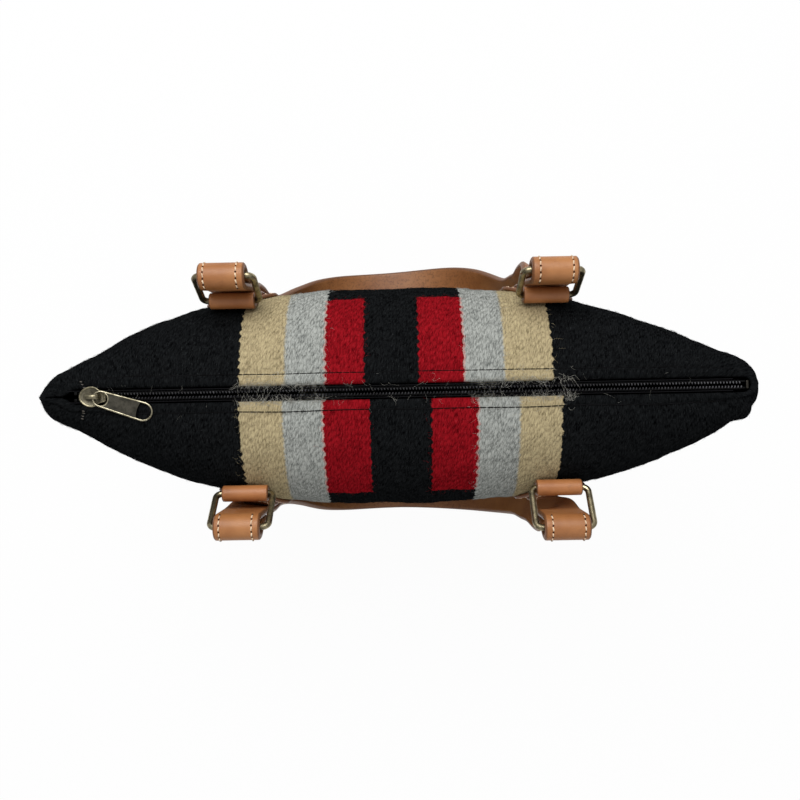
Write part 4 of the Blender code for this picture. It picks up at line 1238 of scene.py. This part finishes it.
def evened(run):
    """A run of strap places at an even pitch, with its kinks smoothed away."""
    places = resampled(run, series(0, 1, round(lengths_along(run)[-1] / STRAP_PITCH)))
    for _ in range(STRAP_SMOOTHING):
        middle = [[(a + 2 * b + c) / 4 for a, b, c in zip(*three)]
                  for three in zip(places, places[1:], places[2:])]
        places = [places[0]] + middle + [places[-1]]
    return [tuple(place) for place in places]


def strap_frames(side):
    """Points, width directions and ways along one handle, from its left to its right tail."""
    stations = strap_run(side, "left") + list(reversed(strap_run(side, "right")[:-1]))
    centre = sum(strap_ends(side)) / 2
    sign = SIDE_SIGN[side]
    points = [Vector((x, sign * depth, z)) for x, depth, z, _ in stations]
    frames = []
    for i, (x, _, _, twist) in enumerate(stations):
        before = points[max(i - 1, 0)]
        after = points[min(i + 1, len(points) - 1)]
        along = (after - before).normalized()
        outward = ACROSS * sign
        outward = (outward - along * outward.dot(along)).normalized()
        inboard = along.cross(outward)
        inward = centre - x if abs(centre - x) > 0.0001 else 1.0
        upright = UP if abs(along.x) > 0.9 else ALONG * inward
        if inboard.dot(upright) < 0:
            inboard = -inboard
        if twist == 0.0:
            width = ALONG * math.copysign(1.0, inward)
        else:
            width = inboard * math.cos(twist) + outward * math.sin(twist)
        frames.append((points[i], width.normalized(), along))
    return frames


def make_handle(side, look):
    """The strap as a slab; its frames are kept for the stitches."""
    frames = strap_frames(side)
    parts = series(-1.0, 1.0, STRAP_ACROSS)
    rows = [[point + width * (STRAP_WIDTH / 2 * part) for part in parts] for point, width, _ in frames]
    work = slab(rows, STRAP_THICKNESS, ACROSS * SIDE_SIGN[side])
    strap = add_work(f"strap_{side}", work, look, f"{side}_strap")
    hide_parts(f"handle_{side}")
    return frames


def thread_dash(work, middle, along, normal, length, radius):
    """One sewn stitch: thread that dives into the leather at both ends."""
    side = along.cross(normal).normalized()
    stations = []
    for place, rise, scale in STITCH_PROFILE:
        point = middle + along * (length * place) + normal * (radius * rise)
        stations.append((point, side, normal, (scale, scale)))
    sweep(work, stations, oval(radius, radius, THREAD_SIDES))


def stitch_hole(work, middle, along, normal):
    """A dark round hole, as a shallow disc just proud of the leather."""
    side = along.cross(normal).normalized()
    rim = [work.verts.new(middle + side * a + along * b - normal * HOLE_SINK)
           for a, b in oval(HOLE_RADIUS, HOLE_RADIUS, HOLE_SIDES)]
    top = work.verts.new(middle + normal * HOLE_RISE)
    foot = work.verts.new(middle - normal * (HOLE_SINK * 3))
    for before, after in zip(rim, rim[1:] + rim[:1]):
        work.faces.new((before, after, top))
        work.faces.new((after, before, foot))


def walk(path, pitch, start):
    """Places at an even pitch along a path of (point, width, normal, along)."""
    places = []
    travelled = 0.0
    target = start
    for first, second in zip(path, path[1:]):
        step = (second[0] - first[0]).length
        while target <= travelled + step:
            part = (target - travelled) / step
            directions = [a.lerp(b, part).normalized() for a, b in zip(first[1:], second[1:])]
            places.append((first[0].lerp(second[0], part), *directions))
            target += pitch
        travelled += step
    return places


def make_strap_stitches(side, frames, thread, hole):
    """Two rows down each tail and round its eye, but none where its leather faces outward."""
    sewn = bmesh.new()
    holes = bmesh.new()
    sign = SIDE_SIGN[side]
    for end in END_SIGN:
        path = frames if end == "left" else [(p, w, -a) for p, w, a in reversed(frames)]
        eye_z = eye_height(side, end)
        outer = []
        for k, (point, width, along) in enumerate(path):
            if k > TAIL_STEPS + EYE_STEPS + 1 and point.z < eye_z - STRAP_TAIL:
                break
            if k <= TAIL_STEPS:
                away = ACROSS * sign
            elif k <= TAIL_STEPS + EYE_STEPS:
                away = Vector((0, point.y - sign * outer_axis(side, end)[0], point.z - eye_z))
            else:
                away = ACROSS * -sign
            normal = width.cross(along).normalized()
            if normal.dot(away) < 0:
                normal = -normal
            outer.append((point + normal * (STRAP_THICKNESS / 2), width, normal, along))
        for point, width, normal, along in walk(outer, STITCH_PITCH, STITCH_START):
            for offset in STITCH_ROWS:
                middle = point + width * offset
                if sign * normal.y < LOOSE_FACING and middle.z > eye_z - LOOSE_DROP:
                    continue
                slanted = (along + width * STITCH_SLANT).normalized()
                thread_dash(sewn, middle, slanted, normal, STITCH_LENGTH, STITCH_THREAD)
                stitch_hole(holes, middle + along * (STITCH_PITCH / 2), along, normal)
    body = f"{side}_strap"
    add_work(f"strap_stitches_{side}", sewn, thread, body, 60.0)
    add_work(f"strap_holes_{side}", holes, hole, body, 60.0)


def make_tab_stitches(side, end, thread):
    """A box of stitches through tongue and patch, and rows by the patch's sides and foot."""
    work = bmesh.new()
    centre = tab_x(side, end)
    under = TAB_SEAT + TAB_LEATHER
    over = under + TAB_LEATHER + CLEARANCE
    half = TAB_WIDTH / 2 - TAB_STITCH_INSET
    top = TAB_AXIS[side].z - TAB_WRAP_END_DROP - TAB_ROW_INSET
    foot = TONGUE_FOOT + TAB_STITCH_INSET

    def sew(x, z, level, distance):
        point = off_cloth(x, z, side, distance)
        up = (off_cloth(x, z + TANGENT_STEP, side, distance) - point).normalized()
        right = (off_cloth(x + TANGENT_STEP, z, side, distance) - point).normalized()
        normal = up.cross(right).normalized()
        if normal.y * SIDE_SIGN[side] < 0:
            normal = -normal
        thread_dash(work, point, right if level else up, normal, TAB_STITCH_LENGTH, TAB_THREAD)

    def spaced(low, high, count):
        return [mix(low, high, (k + 0.5) / count) for k in range(count)]

    for z in spaced(foot, top, int((top - foot) / TAB_STITCH_PITCH) + 1):
        for x in (-half, half):
            sew(centre + x, z, False, over)
    count = int(2 * half / TAB_STITCH_PITCH)
    for x in spaced(-half, half, count + 1):
        sew(centre + x, foot, True, over)
        sew(centre + x, top, True, over)
    z = PATCH_FOOT + TAB_ROW_INSET
    while z < PATCH_SHOULDER:
        reach = patch_half_width(z) - TAB_STITCH_INSET
        if z < TONGUE_FOOT or reach > TAB_WIDTH / 2 + 0.001:
            for x in (-reach, reach):
                sew(centre + x, z, False, under)
        z += TAB_STITCH_PITCH
    for x in spaced(-half, half, count):
        sew(centre + x, PATCH_FOOT + PATCH_ROW_INSET, True, under)
    add_work(f"tab_stitches_{side}_{end}", work, thread, "bag", 60.0)


# The zip

def make_coil(side, look, head_glint_look):
    """One row of the zip's teeth: dark loops of wire, whose heads take a lighter look as a painted
    highlight.
    """
    sign = SIDE_SIGN[side]
    inner = CHANNEL_HALF_WIDTH
    outer = inner + COIL_WIDTH
    foot = outer - TOOTH_WIRE
    high = MOUTH_HEIGHT + COIL_HEIGHT / 2 - TOOTH_WIRE
    profile = ((foot, -0.0014, 0.0), (foot, -0.0007, 0.10), (outer - 0.0006, -0.0004, 0.22),
               (inner + 0.0007, -0.0003, 0.55), (inner + 0.0002, -0.0006, 0.70),
               (inner + 0.0002, -0.0013, 0.80))
    loops = bmesh.new()
    glint_heads = bmesh.new()
    chance = random.Random(21 if side == "back" else 22)
    for k in range(int((COIL_HIGH.x - COIL_LOW.x - TOOTH_PITCH) / TOOTH_PITCH)):
        x = COIL_LOW.x + TOOTH_WIRE + k * TOOTH_PITCH
        if side == "front":
            x += TOOTH_PITCH * 0.5
        loop = [Vector((x + TOOTH_PITCH * lean, sign * y, high + z)) for y, z, lean in profile]
        wire(loops, loop, TOOTH_WIRE, 6, up=ALONG)
        # each tooth's head, which takes the lighter look that paints its glint
        slant = TOOTH_HEAD * chance.uniform(0.15, 0.45)
        head = []
        for part, rise in HEAD_PROFILE:
            y = mix(inner + TOOTH_HEAD * 0.9, inner - TOOTH_REACH, part)
            head.append(Vector((x + TOOTH_PITCH * 0.55 + slant * (part - 0.5), sign * y, high + rise)))
        wire(glint_heads, head, TOOTH_WIRE * 0.95, 7, up=ALONG)
    low = MOUTH_HEIGHT - COIL_HEIGHT / 2
    middle = sign * (inner + outer) / 2
    core = [Vector((x, middle, low + CORE_HALF_HEIGHT)) for x in (COIL_LOW.x, COIL_HIGH.x)]
    sweep(loops, path_stations(core, False, UP),
          oval(COIL_WIDTH / 2 - TOOTH_WIRE, CORE_HALF_HEIGHT, 10))
    coil = add_work(f"coil_{side}", loops, look, "bag")
    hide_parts(f"zipper_coil_{side}")
    add_work(f"coil_glint_heads_{side}", glint_heads, head_glint_look, "bag")


def make_tape(side, look):
    """The tape on edge inside the hem, a little wavy at its foot."""
    sign = SIDE_SIGN[side]
    y = (TAPE_LOW.y + TAPE_HIGH.y) / 2
    rows = []
    for x in series(TAPE_LOW.x, TAPE_HIGH.x, int((TAPE_HIGH.x - TAPE_LOW.x) / TAPE_STEP)):
        sway = noise.noise(Vector((x * 60.0, sign, 0.0))) * TAPE_SWAY
        rows.append([Vector((x, sign * y + sway * part, mix(TAPE_HIGH.z, TAPE_LOW.z, part)))
                     for part in series(0, 1, TAPE_ROWS)])
    work = slab(rows, TAPE_THICKNESS, ACROSS * sign)
    tape = add_work(f"tape_{side}", work, look, "bag")
    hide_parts(f"zipper_tape_{side}")


def pressed_block(work, low, high, round_over):
    """A small block with rounded edges."""
    made = bmesh.ops.create_cube(work, size=1.0)["verts"]
    middle = (low + high) / 2
    for vertex in made:
        vertex.co = middle + Vector(a * b for a, b in zip(vertex.co, high - low))
    edges = {edge for vertex in made for edge in vertex.link_edges}
    bmesh.ops.bevel(work, geom=list(edges), offset=round_over, segments=3, affect="EDGES",
                    profile=0.6)


def make_stops(left_look, right_look):
    for side, sign in SIDE_SIGN.items():
        low, high = sorted((sign * LEFT_STOP_LOW.y, sign * LEFT_STOP_HIGH.y))
        work = bmesh.new()
        pressed_block(work, Vector((LEFT_STOP_LOW.x, low, LEFT_STOP_LOW.z)),
                      Vector((LEFT_STOP_HIGH.x, high, LEFT_STOP_HIGH.z)), 0.0004)
        stop = add_work(f"left_stop_{side}", work, left_look, "bag", 40.0)
        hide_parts(f"zipper_stop_left_{side}")
    work = bmesh.new()
    pressed_block(work, RIGHT_STOP_LOW, RIGHT_STOP_HIGH, 0.0005)
    stop = add_work("right_stop", work, right_look, "bag", 40.0)
    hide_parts("zipper_stop_right")


def smooth_outline(points, steps):
    """A closed outline rounded by a Catmull-Rom curve through its points."""
    made = []
    count = len(points)
    for i in range(count):
        a, b, c, d = (Vector(points[(i + k - 1) % count]) for k in range(4))
        for k in range(steps):
            t = k / steps
            made.append(0.5 * (2 * b + (c - a) * t + (2 * a - 5 * b + 4 * c - d) * t * t
                               + (3 * b - a - 3 * c + d) * t**3))
    return made


def inset_outline(points, distance):
    """A closed outline, drawn in evenly; the points run counter-clockwise."""
    made = []
    count = len(points)
    for i, point in enumerate(points):
        along = (points[(i + 1) % count] - points[i - 1]).normalized()
        made.append(point + Vector((-along.y, along.x)) * distance)
    return made


def domed_plate(work, outline, levels):
    """A plate from its foot to its top: (inset, height) at each level of its edge."""
    rings = [[work.verts.new((x, y, height)) for x, y in inset_outline(outline, inset)]
             for inset, height in levels]
    sides = join_rings(work, rings)
    work.faces.new(list(reversed(rings[0])))
    return sides[-len(outline):] + [work.faces.new(rings[-1])]


def slider_outline():
    """Seen from above: a round nose that narrows to a blunt tail."""
    nose = arc((0.0, 0.0), (SLIDER_NOSE, SLIDER_HALF_WIDTH), (90, 270), NOSE_STEPS)
    lower = [(0.0025, -0.0056), (SLIDER_SHOULDER, -SLIDER_WAIST_HALF_WIDTH),
             (0.0066, -0.0036), (SLIDER_TAIL - 0.0003, -SLIDER_TAIL_HALF_WIDTH + 0.0003),
             (SLIDER_TAIL, -0.0018)]
    return smooth_outline(nose + lower + [(x, -y) for x, y in reversed(lower)], 3)


def make_slider(look, plate_look):
    """Two plates on a keel, a raised rim round the upper one and the arched bridge."""
    outline = slider_outline()
    base = SLIDER_SEAT - MOUTH_HEIGHT
    top = PLATE_TOP - MOUTH_HEIGHT
    low = -COIL_HEIGHT / 2 - CLEARANCE
    work = bmesh.new()
    rim = [(inset, top - drop) for inset, drop in PLATE_RIM]
    for face in domed_plate(work, outline, [(0.0003, base), (0.0, base + 0.00025)] + rim):
        face.material_index = 1
    narrow = (CHANNEL_HALF_WIDTH + COIL_WIDTH - CLEARANCE / 2) / SLIDER_HALF_WIDTH
    domed_plate(work, [Vector((x, y * narrow)) for x, y in outline],
                ((0.0002, low - SLIDER_PLATE), (0.0, low - 0.0007), (0.0, low - 0.0002), (0.0002, low)))
    keel = [Vector(place) for place in oval(KEEL_HALF_LENGTH, CHANNEL_HALF_WIDTH - CLEARANCE, 20)]
    domed_plate(work, keel, ((0.0, low - 0.0004), (0.0, base + 0.0004)))
    bar_x = PULL_BAR.x - SLIDER_X
    bar_z = PULL_BAR.z - MOUTH_HEIGHT
    arch = [Vector((bar_x - BRIDGE_NOSE_REACH - 0.0002, 0, top - 0.0004))]
    for turn in series(math.pi, 0, BRIDGE_STEPS):
        reach = BRIDGE_NOSE_REACH if math.cos(turn) < 0 else BRIDGE_TAIL_REACH
        rise = BRIDGE_HEIGHT * math.sin(turn) ** 0.85
        arch.append(Vector((bar_x + reach * math.cos(turn), 0, bar_z + rise)))
    arch.append(Vector((bar_x + BRIDGE_TAIL_REACH, 0, top - 0.0004)))
    stations = []
    for point, width, _, _ in path_stations(arch, False, ACROSS):
        part = (point.x - arch[0].x) / (arch[-1].x - arch[0].x)
        flare = 1.0 + 0.35 * (1 - math.sin(math.pi * part))
        stations.append((point, ACROSS, width, (flare, 1.0)))
    sweep(work, stations, oval(BRIDGE_HALF_WIDTH, BRIDGE_HALF_THICKNESS, 14))
    mesh = finish_mesh(work, "slider")
    mesh.transform(Matrix.Translation((SLIDER_X, 0, MOUTH_HEIGHT)))
    slider = add_object("slider", mesh, [look, plate_look], "slider", 50.0)
    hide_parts("slider_body")


def pull_outline():
    """The rim's middle line along +X: a round eye that widens to a rounded end."""
    eye = PULL_EYE_RADIUS - PULL_WIRE
    end = (PULL_END_ROUND - PULL_WIRE, PULL_HALF_WIDTH - PULL_WIRE)
    upper = arc((PULL_EYE_X, 0.0), (eye, eye), (180, 90), PULL_STEPS)
    upper += arc((PULL_LENGTH - PULL_END_ROUND, 0.0), end, (90, 0), PULL_STEPS)
    return upper + [(x, -y) for x, y in reversed(upper[1:-1])]


def make_pull(rim_look, panel_look):
    """A wire rim round a sunk panel, with a round eye and a window at the far end."""
    rim = bmesh.new()
    radius = PULL_EYE_RADIUS - PULL_WIRE
    wire(rim, [Vector((x, y, 0)) for x, y in pull_outline()], PULL_WIRE, 12, closed=True)
    eye = arc((PULL_EYE_X, 0.0), (radius, radius), (-88, 88), 18)
    wire(rim, [Vector((x, y, 0)) for x, y in eye], PULL_WIRE * 0.92, 12)
    panel = bmesh.new()
    window_x = PULL_LENGTH - PULL_HOLE_LENGTH
    last = PANEL_COLUMNS
    grids = []
    for z in (PULL_PANEL / 2, -PULL_PANEL / 2):
        grid = []
        for part in series(0, 1, last):
            wide = mix(radius, PULL_HALF_WIDTH - PULL_WIRE, part)
            row = []
            for y in series(-wide, wide, last):
                start = PULL_EYE_X + max(radius**2 - y * y, 0.0) ** 0.5 * 0.98
                bow = PANEL_BOW * (1 - (y / wide) ** 2)
                row.append(panel.verts.new((mix(start, window_x - bow, part), y, z)))
            grid.append(row)
        grids.append(grid)
    for grid in grids:
        for i in range(last):
            for j in range(last):
                panel.faces.new((grid[i][j], grid[i + 1][j], grid[i + 1][j + 1], grid[i][j + 1]))
    upper, lower = grids
    border = [(i, 0) for i in range(last)] + [(last, j) for j in range(last)]
    border += [(last - i, last - j) for i, j in border]
    for (a, b), (c, d) in zip(border, border[1:] + border[:1]):
        panel.faces.new((upper[a][b], upper[c][d], lower[c][d], lower[a][b]))
    turn = (Matrix.Translation(PULL_BAR) @ Matrix.Rotation(math.radians(PULL_YAW), 4, "Z")
            @ Matrix.Rotation(math.radians(PULL_DROOP), 4, "Y"))
    for name, work, look in (("pull_rim", rim, rim_look), ("pull_panel", panel, panel_look)):
        mesh = finish_mesh(work, name)
        mesh.transform(turn)
        add_object(name, mesh, [look], "pull", 50.0)
    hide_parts("pull_tab")


# Threads and fibres on the cloth

def make_hem_stitches(cloth, look):
    """The dark thread that sews the tapes in, lying in the groove along both hems."""
    work = bmesh.new()
    for side in SIDE_SIGN:
        x = HEM_SEAM_START
        while x < HEM_SEAM_END:
            point, normal = cloth.spot(x, stitch_place(x, side) + HEM_ROLL, side)
            ahead = x + TANGENT_STEP
            after, _ = cloth.spot(ahead, stitch_place(ahead, side) + HEM_ROLL, side)
            along = (after - point).normalized()
            thread_dash(work, point, along, normal, HEM_STITCH_LENGTH, HEM_THREAD)
            x += HEM_STITCH_PITCH
    add_work("hem_stitches", work, look, "bag", 60.0)


def make_tack_stitches(cloth, look):
    """A few pale stitches that close the hem's end beyond the slider."""
    work = bmesh.new()
    for side, start, way, count in TACKS:
        for k in range(count):
            x = TACK_X + way * 0.0002 * k
            down = start + TACK_PITCH * k
            point, normal = cloth.spot(x, down, side)
            beside, _ = cloth.spot(x + 0.0016, down + 0.0004 * way, side)
            thread_dash(work, point, (beside - point).normalized(), normal, TACK_LENGTH, TACK_THREAD)
    add_work("tack_stitches", work, look, "bag", 60.0)


def wool_at(x, down, side):
    """The wool that a spot is woven in."""
    wool = BAND_WOOLS[0]
    for edge, colour in zip(BAND_EDGES[side], BAND_WOOLS[1:]):
        if x > edge:
            wool = colour
    if wool == "red" and down > RED_BLOCK_LENGTH[side]:
        return "black"
    return wool


def fibre(work, start, normal, way, length, rise, curl, radius, steps=FIBRE_STEPS, waves=4.0):
    """A hair that leaves the cloth, bows over and comes back towards it."""
    side = way.cross(normal).normalized()
    stations = []
    for part in series(0, 1, steps):
        point = (start + way * (length * part) + normal * (rise * math.sin(math.pi * part) - 0.0001)
                 + side * (curl * math.sin(part * waves)))
        scale = 1.0 - 0.55 * part
        stations.append((point, side, normal, (scale, scale)))
    sweep(work, stations, oval(radius, radius, 3))


def make_fuzz(cloth, looks):
    """Short hairs all over the crown, each in the wool that it grows from."""
    ranges = {"back": range(1, cloth.half - 1), "front": range(cloth.half, cloth.count - 1)}
    for side, columns in ranges.items():
        chance = random.Random(11 if side == "back" else 12)
        works = {wool: bmesh.new() for wool in WOOLS}
        for _ in range(FUZZ_COUNT):
            i = columns[int(chance.random() * len(columns))]
            r = cloth.row_at(i, FUZZ_REACH * chance.random() ** 0.8)
            point = cloth.points[r][i].lerp(cloth.points[r + 1][i], chance.random())
            point = point.lerp(cloth.points[r][i + 1], chance.random())
            normal = cloth.normals[r][i]
            wool = wool_at(cloth.along[i] + chance.gauss(0.0, FUZZ_STRAY), cloth.down[r][i], side)
            turn = chance.random() * 2 * math.pi
            level = normal.cross(UP)
            level = level.normalized() if level.length > 0.05 else ALONG
            way = (level * math.cos(turn) + level.cross(normal) * math.sin(turn)).normalized()
            length = mix(*FUZZ_LENGTH, chance.random())
            rise = mix(*FUZZ_RISE, chance.random() ** 2)
            curl = chance.gauss(0.0, FUZZ_CURL)
            if point.x < RUBBED_X or abs(point.y) > RUBBED_HALF_WIDTH:
                fibre(works[wool], point, normal, way, length, rise, curl, FIBRE_RADIUS)
        for wool, work in works.items():
            add_work(f"fuzz_{side}_{wool}", work, looks[wool], "bag", None)


def make_hem_hairs(cloth, look):
    """Loose pale hairs that stray over the zip where the bands meet it."""
    chance = random.Random(5)
    work = bmesh.new()
    for low, high, count, radius in HAIR_PATCHES:
        for _ in range(count):
            side = "back" if chance.random() < 0.5 else "front"
            x = mix(low, high, chance.random())
            down = mix(*HAIR_DROP, chance.random()) + HAIR_SPREAD * chance.random() ** 6
            point, _ = cloth.spot(x, down, side)
            lean = chance.gauss(0.0, HAIR_LEAN)
            way = Vector((lean, -SIDE_SIGN[side] * mix(0.2, 1.0, chance.random()), 0.0)).normalized()
            length = mix(*HAIR_LENGTH, chance.random() ** 1.3)
            rise = mix(*HAIR_RISE, chance.random())
            curl = chance.gauss(0.0, HAIR_CURL)
            waves = mix(*HAIR_WAVES, chance.random())
            fibre(work, point, UP, way, length, rise, curl, radius, HEM_HAIR_STEPS, waves)
    add_work("hem_hairs", work, look, "bag", None)


# Camera, floor and light

def make_camera():
    data = bpy.data.cameras.new("camera")
    data.lens = LENS
    data.sensor_width = SENSOR
    data.clip_start = 0.01
    camera = link_new("camera", data)
    middle = IMAGE_SIZE / 2
    offset = Vector(((middle - ZIP_PIXEL[0]) * PIXEL, (ZIP_PIXEL[1] - middle) * PIXEL, 0.0))
    roll = Matrix.Rotation(math.radians(CAMERA_ROLL), 4, "Z")
    camera.location = roll @ offset + Vector((0, 0, MOUTH_HEIGHT + CAMERA_HEIGHT))
    camera.rotation_euler = (0.0, 0.0, math.radians(CAMERA_ROLL))
    bpy.context.scene.camera = camera


def make_floor():
    """A pale floor, nearly white where it is seen, that still takes the bag's shadow."""
    mesh = bpy.data.meshes.new("floor")
    mesh.from_pydata([(x * FLOOR_HALF, y * FLOOR_HALF, 0) for x, y in ((-1, -1), (1, -1), (1, 1), (-1, 1))],
                     [], [(0, 1, 2, 3)])
    floor = link_new("floor", mesh)
    graph = Look("floor", FLOOR_COLOUR)
    graph.set("Base Color", FLOOR_COLOUR)
    graph.set("Specular IOR Level", 0.0)
    path = graph.new("LightPath").outputs
    seen = path["Is Camera Ray"]
    for name in ("Is Glossy Ray", "Is Transmission Ray"):
        seen = graph.math("MAXIMUM", seen, path[name])
    white = graph.new("Emission", {"Color": WHITE, "Strength": 1.0})
    blend = graph.new("MixShader", {0: graph.times(seen, FLOOR_WHITE), 1: graph.shader.outputs[0],
                                    2: white.outputs[0]})
    graph.feed(graph.tree.nodes["Material Output"].inputs["Surface"], blend.outputs[0])
    mesh.materials.append(graph.material)


def make_lamp(name, place, size, power):
    data = bpy.data.lights.new(name, "AREA")
    data.shape = "DISK"
    data.size = size
    data.energy = power
    lamp = link_new(name, data)
    lamp.location = place
    aim = Vector((0, 0, MOUTH_HEIGHT)) - lamp.location
    lamp.rotation_euler = aim.to_track_quat("-Z", "Y").to_euler()


def make_world():
    """A soft sky, paler overhead than at the horizon, and white where it is seen."""
    world = bpy.data.worlds.new("studio")
    bpy.context.scene.world = world
    world.use_nodes = True
    graph = Graph(world.node_tree)
    _, _, height = graph.parts(graph.new("TexCoord").outputs["Generated"])
    feeds = {"Value": height, "From Max": 0.9, "To Min": SKY_LOW, "To Max": SKY_HIGH}
    rise = graph.new("MapRange", feeds).outputs[0]
    seen = graph.new("LightPath").outputs["Is Camera Ray"]
    background = graph.tree.nodes["Background"]
    graph.feed(background.inputs["Strength"], graph.math("MAXIMUM", rise, seen))
    graph.feed(background.inputs["Color"], WHITE)


make_camera()
make_floor()
for name, lamp in LAMPS.items():
    make_lamp(name, *lamp)
make_world()
bpy.context.scene.view_settings.view_transform = "Standard"

tan = leather("tan_leather", (0.40, 0.170, 0.057), (0.285, 0.106, 0.031), (0.10, 0.036, 0.012))
orange = leather("orange_leather", (0.385, 0.152, 0.050), (0.28, 0.100, 0.030), (0.08, 0.028, 0.010))
metal = brass("antique_brass", (0.42, 0.36, 0.225), (0.095, 0.080, 0.050))
slider_metal = brass("slider_brass", (0.26, 0.232, 0.154), (0.066, 0.059, 0.041), 0.36)
dark_metal = brass("dark_brass", (0.15, 0.135, 0.095), (0.040, 0.036, 0.027), 0.45)
pull_metal = brass("pull_brass", (0.46, 0.42, 0.30), (0.17, 0.15, 0.10), 0.30)
panel_metal = brass("pull_panel", (0.070, 0.065, 0.052), (0.034, 0.032, 0.026), 0.5)
black_metal = brass("black_metal", (0.012, 0.012, 0.012), (0.005, 0.005, 0.005), 0.5)
stop_metal = brass("stop_metal", (0.050, 0.046, 0.038), (0.012, 0.011, 0.010), 0.42)
thread = yarn("cream_thread", (0.78, 0.62, 0.44), (0.60, 0.42, 0.28))
hole = yarn("hole_shade", (0.035, 0.012, 0.006), (0.02, 0.008, 0.004))
dark_thread = yarn("dark_thread", (0.006, 0.006, 0.007), (0.003, 0.003, 0.003), 0.04)
grey_thread = yarn("grey_thread", (0.20, 0.18, 0.15), (0.10, 0.09, 0.08))
stray_hair = yarn("stray_hair", (0.46, 0.45, 0.40), (0.24, 0.235, 0.205), 0.05)
coil = coil_nylon("zip_coil", (0.003, 0.003, 0.0034), (0.0015, 0.0015, 0.0018), 0.80, 0.12)
# painted highlight: the tooth heads are the coil's own black nylon, given a lighter colour for the glints on
# them
glint_heads = coil_nylon("zip_heads", (0.088, 0.088, 0.094), (0.014, 0.014, 0.016), 0.34, 0.3)
tape = woven_tape()
fibres = {wool: yarn(f"fibre_{wool}", light, dark, 0.05) for wool, (light, dark) in HAIRS.items()}

cloth = make_cloth(wool_cloth())
for side in SIDE_SIGN:
    make_strap_stitches(side, make_handle(side, tan), thread, hole)
    for end in END_SIGN:
        make_tab(side, end, orange)
        make_tab_stitches(side, end, thread)
        make_ring(side, end, metal)
    make_coil(side, coil, glint_heads)
    make_tape(side, tape)
make_stops(black_metal, stop_metal)
make_slider(slider_metal, dark_metal)
make_pull(pull_metal, panel_metal)
make_hem_stitches(cloth, dark_thread)
make_tack_stitches(cloth, grey_thread)
make_fuzz(cloth, fibres)
make_hem_hairs(cloth, stray_hair)
